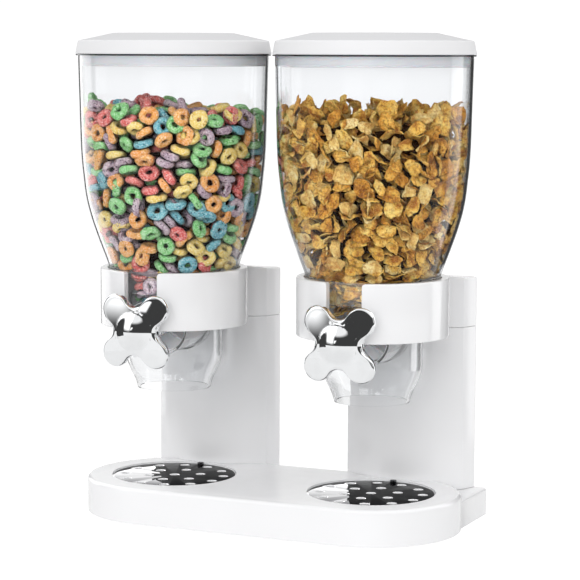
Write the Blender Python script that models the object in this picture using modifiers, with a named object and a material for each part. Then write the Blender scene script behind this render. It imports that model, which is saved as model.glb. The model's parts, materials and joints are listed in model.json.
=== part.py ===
"""Twin cereal dispenser: two clear canisters held in collars over a shared base.

Each canister has a lift-off lid, a funnel neck, a clear metering drum with a
flexible paddle wheel, and a four-lobed knob on a horizontal shaft that turns it.
Under each outlet the base carries a lift-out perforated drip tray.

Frame: +Z up, the front (knobs) faces -Y, +X to the right. The origin is at the
centre of the bounding box, on the surface that the rubber feet stand on.
Dimensions below are in millimetres and are scaled to metres by MM.
"""

import math

import bmesh
import bpy
from mathutils import Matrix, Vector

MM = 0.001
GAP = 0.3  # clearance between touching pieces

# --- driving dimensions, mm -------------------------------------------------
UNIT_PITCH = 177.0  # distance between the two canister axes
BACK_REACH = 90.85  # from the canister axes back to the rear edge of the base
LID_R = 80.2
AXIS_Y = -(BACK_REACH - LID_R) / 2  # puts the box centre at Y = 0

# base
PLATE_R = 72.0  # round ends of the front plate
PLATE_TOP = 29.8
BLOCK_HALF = UNIT_PITCH / 2 + 67.5  # rear block, half width
BLOCK_TOP = 22.3
SHELL_WALL = 3.0
SHELL_BOTTOM = 1.0
FOOT_R, FOOT_H = 7.0, 1.5
FLOOR_PLATE_Z = (1.8, 4.3)

# drip tray and its well
TRAY_R, TRAY_TOP, TRAY_T = 51.4, 28.6, 1.4
WELL_R, WELL_FLOOR = 48.0, 19.0
HOLE_R = 3.3
HOLE_RINGS = ((1, 0.0), (6, 21.6), (12, 41.5))

# column, plan shape about a canister axis
COL_BACK = (57.0, 89.7)  # half width and Y of the back corners
COL_FRONT = (51.0, 72.8)  # half width and Y of the front corners
COL_NOSE = 55.0  # Y of the middle of the bowed front
COL_FOOT = BLOCK_TOP + GAP
COL_TOP = 156.6
COL_WALL = 2.6
HEAD_Z = (156.9, 196.9)  # head block of the collar, to its top corners
HEAD_CROWN = 4.5

# collar
RING_R_OUT, RING_R_IN = 60.7, 54.6
RING_Z = (156.9, 203.5)
SLOT_W = 29.5
LEDGE_R, LEDGE_Z = 50.0, (192.0, 195.7)

# canister, outer profile (radius, height) from the rim down
CAN_WALL = 2.3
CAN_OUT = (
    (77.8, 382.0),
    (77.9, 378.0),  # a thin flange that the lid rests on
    (80.0, 378.0),
    (80.0, 376.8),
    (78.0, 376.8),
    (78.05, 373.7),
    (76.4, 304.0),
    (74.2, 277.3),
    (70.6, 254.0),
    (63.8, 231.5),
    (56.4, 212.4),
    (54.0, 204.0),
    (53.9, 200.0),
    (51.0, 196.0),
    (37.2, 196.0),
    (33.3, 183.0),
)
CAN_IN = (  # inner profile from the neck up
    (31.0, 183.0),
    (34.6, 197.0),
    (50.0, 201.6),
    (54.1, 213.2),
    (61.6, 232.4),
    (68.3, 254.7),
    (71.9, 277.7),
    (74.1, 304.2),
    (75.75, 373.7),
    (75.75, 382.0),
)

# lid
LID_BOTTOM, LID_TOP = 378.3, 395.1
LID_FLAT_R = 49.0
SEAL_R, SEAL_Z = (72.4, 75.3), (368.5, 382.0)

# outlet: metering drum, chute, shaft and knob
SHAFT_Z = 157.3
DRUM_R, DRUM_WALL = 24.6, 2.0
DRUM_Y = (-26.0, 24.0)
HOPPER_R, HOPPER_Z, HOPPER_WALL = 33.2, (166.0, 182.7), 2.0
CHUTE_WALL = 2.0
CHUTE_OUT = (
    (40.3, 195.7),
    (40.3, 133.0),
    (38.8, 124.9),
    (36.2, 118.3),
    (32.6, 111.6),
    (30.4, 103.6),
)
SHAFT_R = 4.0
SHAFT_Y = (-73.0, 22.7)
BUSH_R = 8.0
BUSH_Y = (-62.2, -26.3)
PADDLE_R, PADDLE_HUB_R, PADDLE_T = 22.0, 6.5, 2.0
PADDLE_Y = (-23.6, 21.6)
KNOB_Y = -67.5  # mid plane of the knob
KNOB_T = 9.0
LOBE_AT, LOBE_R = 25.4, 11.5  # four lobes, at 45 degrees
KNOB_WAIST = 19.5  # radius of the hollows between lobes
DOME_R, DOME_H = 13.0, 4.0
KNOB_BOSS_R = 8.6

# fasteners
M4_HEAD_R, M4_R = 3.8, 1.9
M3_HEAD_R, M3_R = 3.1, 1.5

SIDES = (("left", -UNIT_PITCH / 2), ("right", UNIT_PITCH / 2))

# --- scene ------------------------------------------------------------------
for old in list(bpy.data.objects):
    bpy.data.objects.remove(old, do_unlink=True)

PARTS = bpy.data.collections.new("cereal_dispenser")
CUTTERS = bpy.data.collections.new("cereal_dispenser_cutters")
bpy.context.scene.collection.children.link(PARTS)
bpy.context.scene.collection.children.link(CUTTERS)


def material(name, colour, rough, metal=0.0, clear=0.0):
    mat = bpy.data.materials.new(name)
    mat.use_nodes = True
    shader = mat.node_tree.nodes["Principled BSDF"]
    shader.inputs["Base Color"].default_value = (*colour, 1.0)
    shader.inputs["Roughness"].default_value = rough
    shader.inputs["Metallic"].default_value = metal
    shader.inputs["Transmission Weight"].default_value = clear
    mat.diffuse_color = (*colour, 1.0)
    return mat


WHITE = (0.86, 0.86, 0.87)
FINISH = {
    "white": (WHITE, 0.22),
    "white_matt": ((0.80, 0.80, 0.81), 0.5),
    "chrome": ((0.85, 0.86, 0.88), 0.05, 1.0),
    "clear": ((0.96, 0.97, 0.98), 0.03, 0.0, 1.0),
    "silicone": ((0.82, 0.83, 0.84), 0.45, 0.0, 0.4),
    "steel": ((0.62, 0.63, 0.65), 0.3, 1.0),
    "rubber": ((0.05, 0.05, 0.055), 0.8),
    "nylon": ((0.74, 0.74, 0.73), 0.4),
}


def finish(obj, kind):
    """Gives the piece its own material of this kind."""
    obj.data.materials.clear()
    obj.data.materials.append(material(obj.name + "_" + kind, *FINISH[kind]))
    return obj


def put(name, mesh, kind=None, at=(0, 0, 0)):
    obj = bpy.data.objects.new(name, mesh)
    obj.location = Vector(at) * MM
    if kind is None:
        CUTTERS.objects.link(obj)
        obj.hide_render = True
        obj.display_type = "WIRE"
    else:
        PARTS.objects.link(obj)
        finish(obj, kind)
    return obj


def smooth(obj, angle=35.0):
    obj.data.shade_smooth()
    obj.data.set_sharp_from_angle(angle=math.radians(angle))
    return obj


def mesh_of(bm, name):
    bmesh.ops.recalc_face_normals(bm, faces=bm.faces)
    mesh = bpy.data.meshes.new(name)
    bm.to_mesh(mesh)
    bm.free()
    return mesh


def box(name, low, high, kind=None, at=(0, 0, 0)):
    bm = bmesh.new()
    bmesh.ops.create_cube(bm, size=1.0)
    low, high = Vector(low) * MM, Vector(high) * MM
    for v in bm.verts:
        v.co = Vector(l + (c + 0.5) * (h - l) for l, h, c in zip(low, high, v.co))
    return put(name, mesh_of(bm, name), kind, at)


def rod(name, radius, low, high, sides, kind=None, at=(0, 0, 0), axis="Z", radius2=None):
    """A cylinder or cone between two heights on an axis through `at`."""
    bm = bmesh.new()
    bmesh.ops.create_cone(
        bm,
        cap_ends=True,
        segments=sides,
        radius1=radius * MM,
        radius2=(radius if radius2 is None else radius2) * MM,
        depth=(high - low) * MM,
    )
    bmesh.ops.translate(bm, verts=bm.verts, vec=(0, 0, (low + high) / 2 * MM))
    if axis == "Y":  # local Z turned to +Y
        bmesh.ops.rotate(
            bm, verts=bm.verts, cent=(0, 0, 0), matrix=Matrix.Rotation(-math.pi / 2, 3, "X")
        )
    return put(name, mesh_of(bm, name), kind, at)


def turned(name, profile, sides, kind=None, at=(0, 0, 0), closed=True, front_axis=False):
    """A turned piece: a profile of (radius, height), down its outer side first."""
    bm = bmesh.new()
    verts = [bm.verts.new((r * MM, 0, z * MM)) for r, z in profile]
    for a, b in zip(verts, verts[1:]):
        bm.edges.new((a, b))
    if closed:
        bm.edges.new((verts[-1], verts[0]))
    mesh = bpy.data.meshes.new(name)
    bm.to_mesh(mesh)
    bm.free()
    obj = put(name, mesh, kind, at)
    if front_axis:  # local Z turned to -Y, the front
        obj.rotation_euler = (math.pi / 2, 0, 0)
    screw = obj.modifiers.new("turn", "SCREW")
    screw.angle = 2 * math.pi
    screw.steps = screw.render_steps = sides
    screw.use_merge_vertices = True
    screw.merge_threshold = 0.00001
    screw.use_smooth_shade = True
    return obj


def outline_mesh(name, points, low, high):
    """A flat outline extruded between two heights, as a welded mesh."""
    curve = bpy.data.curves.new(name + "_outline", "CURVE")
    curve.dimensions = "2D"
    curve.fill_mode = "BOTH"
    curve.extrude = (high - low) / 2 * MM
    spline = curve.splines.new("POLY")
    spline.points.add(len(points) - 1)
    for p, (x, y) in zip(spline.points, points):
        p.co = (x * MM, y * MM, 0, 1)
    spline.use_cyclic_u = True
    obj = bpy.data.objects.new(name + "_outline", curve)
    bpy.context.scene.collection.objects.link(obj)
    obj.location = (0, 0, (low + high) / 2 * MM)
    bpy.context.view_layer.update()
    graph = bpy.context.evaluated_depsgraph_get()
    mesh = bpy.data.meshes.new_from_object(obj.evaluated_get(graph))
    mesh.transform(obj.matrix_world)
    bpy.data.objects.remove(obj)
    bpy.data.curves.remove(curve)
    bm = bmesh.new()
    bm.from_mesh(mesh)
    bmesh.ops.remove_doubles(bm, verts=bm.verts, dist=1e-6)
    bmesh.ops.dissolve_limit(
        bm, angle_limit=math.radians(0.5), verts=bm.verts, edges=bm.edges
    )
    bmesh.ops.recalc_face_normals(bm, faces=bm.faces)
    bm.to_mesh(mesh)
    bm.free()
    mesh.name = name
    return mesh


def round_edges(mesh, pick, width, segments):
    """Rounds the edges for which pick(a, b) is true; ends in millimetres."""
    bm = bmesh.new()
    bm.from_mesh(mesh)
    edges = [
        e for e in bm.edges if pick(e.verts[0].co / MM, e.verts[1].co / MM)
    ]
    bmesh.ops.bevel(
        bm,
        geom=edges,
        offset=width * MM,
        segments=segments,
        profile=0.5,
        affect="EDGES",
        clamp_overlap=True,
    )
    bm.to_mesh(mesh)
    bm.free()


def at_height(z):
    return lambda a, b: abs(a.z - z) < 0.01 and abs(b.z - z) < 0.01


def boolean(obj, other, operation="DIFFERENCE"):
    mod = obj.modifiers.new(operation.lower() + "_" + other.name, "BOOLEAN")
    mod.operation = operation
    mod.object = other
    mod.solver = "EXACT"
    return obj


def stadium(half, radius, steps=12):
    """Plan outline with round ends centred on x = -half and +half."""
    right = [
        (
            half + radius * math.sin(math.pi * i / steps),
            AXIS_Y - radius * math.cos(math.pi * i / steps),
        )
        for i in range(steps + 1)
    ]
    return right + [(-x, 2 * AXIS_Y - y) for x, y in right]


def rounded_rect(x0, x1, y0, y1, radius, steps=3):
    corners = ((x1, y0, -90), (x1, y1, 0), (x0, y1, 90), (x0, y0, 180))
    points = []
    for x, y, start in corners:
        cx = x - radius if x == x1 else x + radius
        cy = y - radius if y == y1 else y + radius
        for i in range(steps + 1):
            a = math.radians(start + 90 * i / steps)
            points.append((cx + radius * math.cos(a), cy + radius * math.sin(a)))
    return points


def column_outline(grow=0.0, steps=6):
    """Plan of a column about its canister axis, moved outwards by grow."""
    bx, by = COL_BACK[0] + grow, COL_BACK[1] + grow
    fx, fy = COL_FRONT[0] + grow, COL_FRONT[1]
    nose = COL_NOSE - grow
    rise = fy - nose
    radius = (fx * fx + rise * rise) / (2 * rise)
    half = math.asin(fx / radius)
    arc = [
        (
            radius * math.sin(-half + 2 * half * i / steps),
            AXIS_Y + nose + radius - radius * math.cos(-half + 2 * half * i / steps),
        )
        for i in range(steps + 1)
    ]
    return arc + [(bx, AXIS_Y + by), (-bx, AXIS_Y + by)]


# --- base -------------------------------------------------------------------
half = UNIT_PITCH / 2
shell_mesh = outline_mesh("base_shell", stadium(half, PLATE_R), SHELL_BOTTOM, PLATE_TOP)
round_edges(shell_mesh, at_height(PLATE_TOP), 3.0, 2)
base_shell = put("base_shell", shell_mesh, "white")
block_outline = rounded_rect(
    -BLOCK_HALF, BLOCK_HALF, AXIS_Y + 4, AXIS_Y + BACK_REACH, 5.0
)
block_mesh = outline_mesh("rear_block", block_outline, SHELL_BOTTOM, BLOCK_TOP)
round_edges(block_mesh, at_height(BLOCK_TOP), 1.5, 2)
block = put("rear_block", block_mesh)
boolean(base_shell, block, "UNION")

# the hollow under the shell: low under the block, higher under the plate front
hollow = put(
    "base_hollow",
    outline_mesh(
        "base_hollow",
        rounded_rect(
            -BLOCK_HALF + SHELL_WALL,
            BLOCK_HALF - SHELL_WALL,
            AXIS_Y + 10,
            AXIS_Y + BACK_REACH - SHELL_WALL,
            3.0,
        ),
        -1.0,
        BLOCK_TOP - SHELL_WALL,
    ),
)
plate_hollow = put(
    "plate_hollow",
    outline_mesh(
        "plate_hollow",
        stadium(half, PLATE_R - SHELL_WALL),
        -1.0,
        BLOCK_TOP - SHELL_WALL - 0.4,
    ),
)
boolean(hollow, plate_hollow, "UNION")
front_hollow = put(
    "front_hollow",
    outline_mesh(
        "front_hollow",
        [p for p in stadium(half, PLATE_R - SHELL_WALL) if p[1] < AXIS_Y + 50],
        2.0,
        PLATE_TOP - SHELL_WALL,
    ),
)
boolean(hollow, front_hollow, "UNION")
for side, x in SIDES:
    keep = rod("well_body_" + side, WELL_R + 6.3, 16.6, 40.0, 28, at=(x, AXIS_Y, 0))
    boolean(hollow, keep)
BOSSES = ((0.0, -56.0), (0.0, 62.0), (-145.0, 58.0), (145.0, 58.0))
for i, (x, y) in enumerate(BOSSES, 1):
    keep = rod(f"boss_body_{i}", 4.2, FLOOR_PLATE_Z[1] + GAP, 40.0, 10, at=(x, AXIS_Y + y, 0))
    boolean(hollow, keep)
boolean(base_shell, hollow)
for side, x in SIDES:
    seat = rod("tray_seat_" + side, TRAY_R + GAP, TRAY_TOP - TRAY_T - GAP, 40.0, 36, at=(x, AXIS_Y, 0))
    well = rod("tray_well_" + side, WELL_R, WELL_FLOOR, 40.0, 28, at=(x, AXIS_Y, 0))
    pocket = put(
        "column_pocket_" + side,
        outline_mesh("column_pocket_" + side, column_outline(GAP), BLOCK_TOP, 60.0),
        at=(x, 0, 0),
    )
    for cutter in (seat, well, pocket):
        boolean(base_shell, cutter)
    for k, dx in ((1, -30.0), (2, 30.0)):
        hole = rod(f"column_screw_hole_{side}_{k}", M4_R + 0.4, 10.0, 40.0, 8, at=(x + dx, AXIS_Y + 80.0, 0))
        boolean(base_shell, hole)
for i, (x, y) in enumerate(BOSSES, 1):
    hole = rod(f"boss_hole_{i}", M3_R + GAP, 0.0, 13.0, 8, at=(x, AXIS_Y + y, 0))
    boolean(base_shell, hole)
smooth(base_shell)

floor_outline_front = stadium(half, PLATE_R - SHELL_WALL - GAP)
base_plate = put(
    "base_floor_plate",
    outline_mesh("base_floor_plate", floor_outline_front, *FLOOR_PLATE_Z),
    "white_matt",
)
floor_rear = put(
    "floor_rear",
    outline_mesh(
        "floor_rear",
        rounded_rect(
            -BLOCK_HALF + SHELL_WALL + GAP,
            BLOCK_HALF - SHELL_WALL - GAP,
            AXIS_Y + 12,
            AXIS_Y + BACK_REACH - SHELL_WALL - GAP,
            2.7,
        ),
        *FLOOR_PLATE_Z,
    ),
)
boolean(base_plate, floor_rear, "UNION")
for i, (x, y) in enumerate(BOSSES, 1):
    hole = rod(f"plate_hole_{i}", M3_R + GAP, 0.0, 10.0, 8, at=(x, AXIS_Y + y, 0))
    sink = rod(f"plate_sink_{i}", M3_HEAD_R + GAP, 0.0, 3.3, 10, at=(x, AXIS_Y + y, 0))
    boolean(base_plate, hole)
    boolean(base_plate, sink)
    turned(
        f"floor_screw_{i}",
        [(0, 12.0), (M3_R, 12.0), (M3_R, 3.0), (M3_HEAD_R, 3.0), (M3_HEAD_R, 1.9), (0, 1.9)],
        8,
        "steel",
        at=(x, AXIS_Y + y, 0),
        closed=False,
    )

FEET = ((-132.0, -38.0), (-30.0, -58.0), (30.0, -58.0), (132.0, -38.0), (-138.0, 78.0), (138.0, 78.0))
for i, (x, y) in enumerate(FEET, 1):
    turned(
        f"rubber_foot_{i}",
        [(0, FOOT_H), (FOOT_R, FOOT_H), (FOOT_R - 0.4, 0), (0, 0)],
        12,
        "rubber",
        at=(x, AXIS_Y + y, 0),
        closed=False,
    )

# --- one set of pieces for each canister -------------------------------------
def column_pieces(side, x):
    """Front shell of the column, the collar with its head, and the back cover."""
    fx, fy = COL_FRONT
    bx, by = COL_BACK

    def corner(a, b):
        upright = abs(a.x - b.x) < 0.01 and abs(a.y - b.y) < 0.01
        return upright and abs(abs(a.x) - fx) < 0.05 and abs(a.y - AXIS_Y - fy) < 0.05

    def back_corner(a, b):
        upright = abs(a.x - b.x) < 0.01 and abs(a.y - b.y) < 0.01
        return upright and abs(abs(a.x) - bx) < 0.05 and abs(a.y - AXIS_Y - by) < 0.05

    mesh = outline_mesh("column_" + side, column_outline(), COL_FOOT, COL_TOP)
    round_edges(mesh, corner, 2.5, 2)
    round_edges(mesh, back_corner, 1.5, 2)
    column = put("column_" + side, mesh, "white", at=(x, 0, 0))
    inside = put(
        "column_inside_" + side,
        outline_mesh("column_inside_" + side, column_outline(-COL_WALL), COL_FOOT + 3.4, 210.0),
        at=(x, 0, 0),
    )
    for k, dx in ((1, -30.0), (2, 30.0)):
        keep = rod(f"column_boss_{side}_{k}", 4.6, 20.0, COL_FOOT + 12.0, 10, at=(x + dx, AXIS_Y + 80.0, 0))
        boolean(inside, keep)
    keep = rod(f"cover_boss_low_{side}", 4.0, 40.0, 90.0 - 3.2, 10, at=(x, AXIS_Y, 90.0), axis="Y")
    boolean(inside, keep)
    boolean(column, inside)
    back = box(
        "column_back_opening_" + side,
        (-bx + 4.0, AXIS_Y + by - COL_WALL - 0.6, COL_FOOT + 3.4),
        (bx - 4.0, AXIS_Y + by + 5, 300.0),
        at=(x, 0, 0),
    )
    boolean(column, back)
    for k, dx in ((1, -30.0), (2, 30.0)):
        hole = rod(f"column_boss_hole_{side}_{k}", M4_R + GAP, 10.0, COL_FOOT + 9.0, 8, at=(x + dx, AXIS_Y + 80.0, 0))
        boolean(column, hole)
        turned(
            f"column_screw_{side}_{k}",
            [(0, COL_FOOT + 8.0), (M4_R, COL_FOOT + 8.0), (M4_R, 19.0), (M4_HEAD_R, 19.0), (M4_HEAD_R, 16.4), (0, 16.4)],
            8,
            "steel",
            at=(x + dx, AXIS_Y + 80.0, 0),
            closed=False,
        )
    hole = rod(f"cover_boss_low_hole_{side}", M3_R + GAP, 74.0, 100.0, 8, at=(x, AXIS_Y, 90.0), axis="Y")
    boolean(column, hole)
    smooth(column)

    # collar: a ring open at the front, one piece with the head above the column
    head_mesh = outline_mesh("collar_" + side, column_outline(), HEAD_Z[0], HEAD_Z[1] + HEAD_CROWN + 3)
    round_edges(head_mesh, corner, 2.5, 2)
    round_edges(head_mesh, back_corner, 1.5, 2)
    collar = put("collar_" + side, head_mesh, "white", at=(x, 0, 0))
    radius = (bx * bx + HEAD_CROWN**2) / (2 * HEAD_CROWN)
    reach = 75.0
    span = math.asin(reach / radius)
    crown = [
        (
            radius * math.sin(span - 2 * span * i / 12),
            HEAD_Z[1] + HEAD_CROWN - radius + radius * math.cos(span - 2 * span * i / 12),
        )
        for i in range(13)
    ] + [(-reach, 120.0), (reach, 120.0)]
    crown_mesh = outline_mesh("head_crown_" + side, crown, -60.0, 60.0)
    crown_mesh.transform(Matrix.Rotation(math.pi / 2, 4, "X"))
    crown_cut = put("head_crown_" + side, crown_mesh, at=(x, AXIS_Y + 80.0, 0))
    boolean(collar, crown_cut, "INTERSECT")
    head_inside = put(
        "head_inside_" + side,
        outline_mesh("head_inside_" + side, column_outline(-COL_WALL), 150.0, HEAD_Z[1] - 4.0),
        at=(x, 0, 0),
    )
    keep = turned(
        "ring_back_" + side,
        [(RING_R_OUT, 220.0), (RING_R_OUT, 140.0), (RING_R_IN, 140.0), (RING_R_IN, 220.0)],
        36,
        at=(x, AXIS_Y, 0),
    )
    boolean(head_inside, keep)
    keep = rod(f"cover_boss_high_{side}", 4.0, 58.0, 90.0 - 3.2, 10, at=(x, AXIS_Y, 180.0), axis="Y")
    boolean(head_inside, keep)
    boolean(collar, head_inside)
    boolean(
        collar,
        box(
            "head_back_opening_" + side,
            (-bx + 4.0, AXIS_Y + by - COL_WALL - 0.6, 150.0),
            (bx - 4.0, AXIS_Y + by + 5, HEAD_Z[1] - 4.0),
            at=(x, 0, 0),
        ),
    )
    ring = turned(
        "ring_" + side,
        [
            (RING_R_OUT - 1.2, RING_Z[1]),
            (RING_R_OUT, RING_Z[1] - 1.2),
            (RING_R_OUT, RING_Z[0]),
            (RING_R_IN, RING_Z[0]),
            (RING_R_IN, RING_Z[1]),
        ],
        36,
        at=(x, AXIS_Y, 0),
    )
    boolean(collar, ring, "UNION")
    ledge = turned(
        "ledge_" + side,
        [
            (RING_R_IN + 1.5, LEDGE_Z[1]),
            (RING_R_IN + 1.5, LEDGE_Z[0] - 3.0),
            (LEDGE_R, LEDGE_Z[0]),
            (LEDGE_R, LEDGE_Z[1]),
        ],
        36,
        at=(x, AXIS_Y, 0),
    )
    boolean(
        ledge,
        box("ledge_front_" + side, (-60, -80, 150), (60, -30, 220), at=(x, AXIS_Y, 0)),
    )
    boolean(collar, ledge, "UNION")
    slot = put(
        "collar_slot_" + side,
        outline_mesh(
            "collar_slot_" + side,
            rounded_rect(-SLOT_W / 2, SLOT_W / 2, -80.0, -30.0, 1.0, 1),
            140.0,
            220.0,
        ),
        at=(x, AXIS_Y, 0),
    )
    boolean(collar, slot)
    hole = rod(f"cover_boss_high_hole_{side}", M3_R + GAP, 70.0, 100.0, 8, at=(x, AXIS_Y, 180.0), axis="Y")
    boolean(collar, hole)
    smooth(collar)

    # back cover over column and head, with its two screws
    cover = box(
        "back_cover_" + side,
        (-bx + 4.0 + GAP, AXIS_Y + by - COL_WALL, COL_FOOT + 3.4 + GAP),
        (bx - 4.0 - GAP, AXIS_Y + by, HEAD_Z[1] - 4.0 - GAP),
        "white",
        at=(x, 0, 0),
    )
    for k, z in ((1, 90.0), (2, 180.0)):
        hole = rod(f"cover_hole_{side}_{k}", M3_R + GAP, 60.0, 100.0, 8, at=(x, AXIS_Y, z), axis="Y")
        sink = rod(f"cover_sink_{side}_{k}", M3_HEAD_R + GAP, by - 1.5, 100.0, 10, at=(x, AXIS_Y, z), axis="Y")
        boolean(cover, hole)
        boolean(cover, sink)
        screw = turned(
            f"cover_screw_{side}_{k}",
            [(0, -75.5), (M3_R, -75.5), (M3_R, -(by - 1.2)), (M3_HEAD_R, -(by - 1.2)), (M3_HEAD_R, -by), (0, -by)],
            8,
            "steel",
            at=(x, AXIS_Y, z),
            closed=False,
            front_axis=True,
        )


def canister_pieces(side, x):
    at = (x, AXIS_Y, 0)
    smooth(turned("canister_" + side, list(CAN_OUT) + list(CAN_IN), 32, "clear", at=at))

    inner = [(r - CHUTE_WALL, z) for r, z in reversed(CHUTE_OUT)]
    chute = smooth(turned("outlet_chute_" + side, list(CHUTE_OUT) + inner, 24, "clear", at=at))
    hole = rod("chute_hole_" + side, BUSH_R + GAP, -60.0, -20.0, 16, at=(x, AXIS_Y, SHAFT_Z), axis="Y")
    boolean(chute, hole)

    # metering housing: a hopper ring over a horizontal drum
    axis = (x, AXIS_Y, SHAFT_Z)
    housing = rod("metering_housing_" + side, HOPPER_R, *HOPPER_Z, 24, "clear", at=at)
    drum = rod("drum_" + side, DRUM_R, *DRUM_Y, 20, at=axis, axis="Y")
    boolean(housing, drum, "UNION")
    boolean(
        housing,
        rod("drum_bore_" + side, DRUM_R - DRUM_WALL, DRUM_Y[0] + 2, DRUM_Y[1] - 2, 20, at=axis, axis="Y"),
    )
    boolean(
        housing,
        rod("hopper_cup_" + side, HOPPER_R - HOPPER_WALL, HOPPER_Z[0] + HOPPER_WALL, 184.0, 24, at=at),
    )
    boolean(
        housing,
        box("drum_outlet_" + side, (-13.5, -21.0, -40.0), (13.5, 12.0, 0.0), at=axis),
    )
    boolean(
        housing,
        rod("drum_shaft_hole_" + side, SHAFT_R + GAP, -40.0, DRUM_Y[1] - 1.0, 12, at=axis, axis="Y"),
    )
    smooth(housing)

    smooth(
        turned(
            "shaft_bush_" + side,
            [
                (BUSH_R - 0.8, -BUSH_Y[0]),
                (BUSH_R, -BUSH_Y[0] - 0.8),
                (BUSH_R, -BUSH_Y[1]),
                (SHAFT_R + GAP, -BUSH_Y[1]),
                (SHAFT_R + GAP, -BUSH_Y[0]),
            ],
            16,
            "clear",
            at=axis,
            front_axis=True,
        )
    )


def lid_pieces(side, x):
    at = (x, AXIS_Y, 0)
    smooth(
        turned(
            "lid_" + side,
            [
                (0, LID_TOP),
                (LID_FLAT_R - 1.5, LID_TOP),
                (LID_FLAT_R + 1.5, LID_TOP - 0.4),
                (76.0, 390.3),
                (79.4, 387.6),
                (LID_R, LID_BOTTOM),
                (78.4, LID_BOTTOM),
                (78.4, 382.3),
                (72.1, 382.3),
                (72.1, 388.0),
                (LID_FLAT_R, 392.4),
                (0, 392.4),
            ],
            32,
            "white",
            at=at,
            closed=False,
        )
    )
    smooth(
        turned(
            "lid_seal_" + side,
            [
                (SEAL_R[1], SEAL_Z[1]),
                (SEAL_R[1], SEAL_Z[0]),
                (SEAL_R[0], SEAL_Z[0]),
                (SEAL_R[0], SEAL_Z[1]),
            ],
            32,
            "silicone",
            at=at,
        )
    )


def knob_outline(steps=7):
    """Four round lobes joined by hollows, as a plan outline."""
    # A hollow is an arc that meets both lobes; its centre lies on an axis at `far`.
    ax = LOBE_AT * math.cos(math.pi / 4)
    # centre (far, 0), radius far - KNOB_WAIST, tangent to the lobe circle:
    # (far - ax)^2 + ax^2 = (far - KNOB_WAIST + LOBE_R)^2
    far = (ax * ax * 2 - (LOBE_R - KNOB_WAIST) ** 2) / (2 * (ax + LOBE_R - KNOB_WAIST))
    hollow_r = far - KNOB_WAIST
    touch = math.atan2(ax, far - ax)  # angle at the hollow's centre to a lobe's
    points = []
    for q in range(4):
        turn = math.pi / 2 * q
        for i in range(4):  # the hollow, from below the axis to above it
            a = math.pi + touch - 2 * touch * i / 3
            points.append((far + hollow_r * math.cos(a), hollow_r * math.sin(a), turn))
        lobe_start = -touch
        lobe_end = math.pi / 2 + touch
        for i in range(1, steps):
            a = lobe_start + (lobe_end - lobe_start) * i / steps
            points.append((ax + LOBE_R * math.cos(a), ax + LOBE_R * math.sin(a), turn))
    return [
        (u * math.cos(t) - v * math.sin(t), u * math.sin(t) + v * math.cos(t))
        for u, v, t in points
    ]


def knob_pieces(side, x):
    axis = (x, AXIS_Y, SHAFT_Z)
    front = -(KNOB_Y - KNOB_T / 2)
    back = -(KNOB_Y + KNOB_T / 2)
    mesh = outline_mesh("knob_" + side, knob_outline(), back, front)
    round_edges(mesh, at_height(front), 2.4, 1)
    round_edges(mesh, at_height(back), 1.2, 1)
    knob = put("knob_" + side, mesh, "chrome", at=axis)
    knob.rotation_euler = (math.pi / 2, 0, 0)
    dome = turned(
        "knob_dome_" + side,
        [
            (DOME_R * math.sin(math.pi / 2 * i / 4), front + DOME_H * math.cos(math.pi / 2 * i / 4))
            for i in range(5)
        ]
        + [(DOME_R, front - 3.0), (0, front - 3.0)],
        16,
        at=axis,
        closed=False,
        front_axis=True,
    )
    boss = turned(
        "knob_boss_" + side,
        [(0, front - 3.0), (KNOB_BOSS_R, front - 3.0), (KNOB_BOSS_R, 62.6), (0, 62.6)],
        16,
        at=axis,
        closed=False,
        front_axis=True,
    )
    bore = turned(
        "knob_bore_" + side,
        [(0, 73.3), (SHAFT_R + GAP, 73.3), (SHAFT_R + GAP, 55.0), (0, 55.0)],
        12,
        at=axis,
        closed=False,
        front_axis=True,
    )
    boolean(knob, dome, "UNION")
    boolean(knob, boss, "UNION")
    boolean(knob, bore)
    smooth(knob)

    # shaft with a flat along its back half, where the paddle hub grips it
    shaft = rod("drive_shaft_" + side, SHAFT_R, *SHAFT_Y, 12, "nylon", at=axis, axis="Y")
    boolean(
        shaft,
        box("shaft_flat_" + side, (-6, PADDLE_Y[0] + 0.5, SHAFT_R - 0.8), (6, PADDLE_Y[1] - 0.5, 8), at=axis),
    )
    smooth(shaft)

    paddle = rod("paddle_wheel_" + side, PADDLE_HUB_R, *PADDLE_Y, 12, "silicone", at=axis, axis="Y")
    for k in range(3):  # three plates through the hub make six blades
        blade = box(
            f"paddle_blade_{side}_{k + 1}",
            (-PADDLE_R, PADDLE_Y[0], -PADDLE_T / 2),
            (PADDLE_R, PADDLE_Y[1], PADDLE_T / 2),
            at=axis,
        )
        blade.rotation_euler = (0, math.radians(60 * k + 30), 0)
        boolean(paddle, blade, "UNION")
    boolean(
        paddle,
        rod("paddle_bore_" + side, SHAFT_R + GAP, -60.0, 60.0, 12, at=axis, axis="Y"),
    )
    smooth(paddle)


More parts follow.
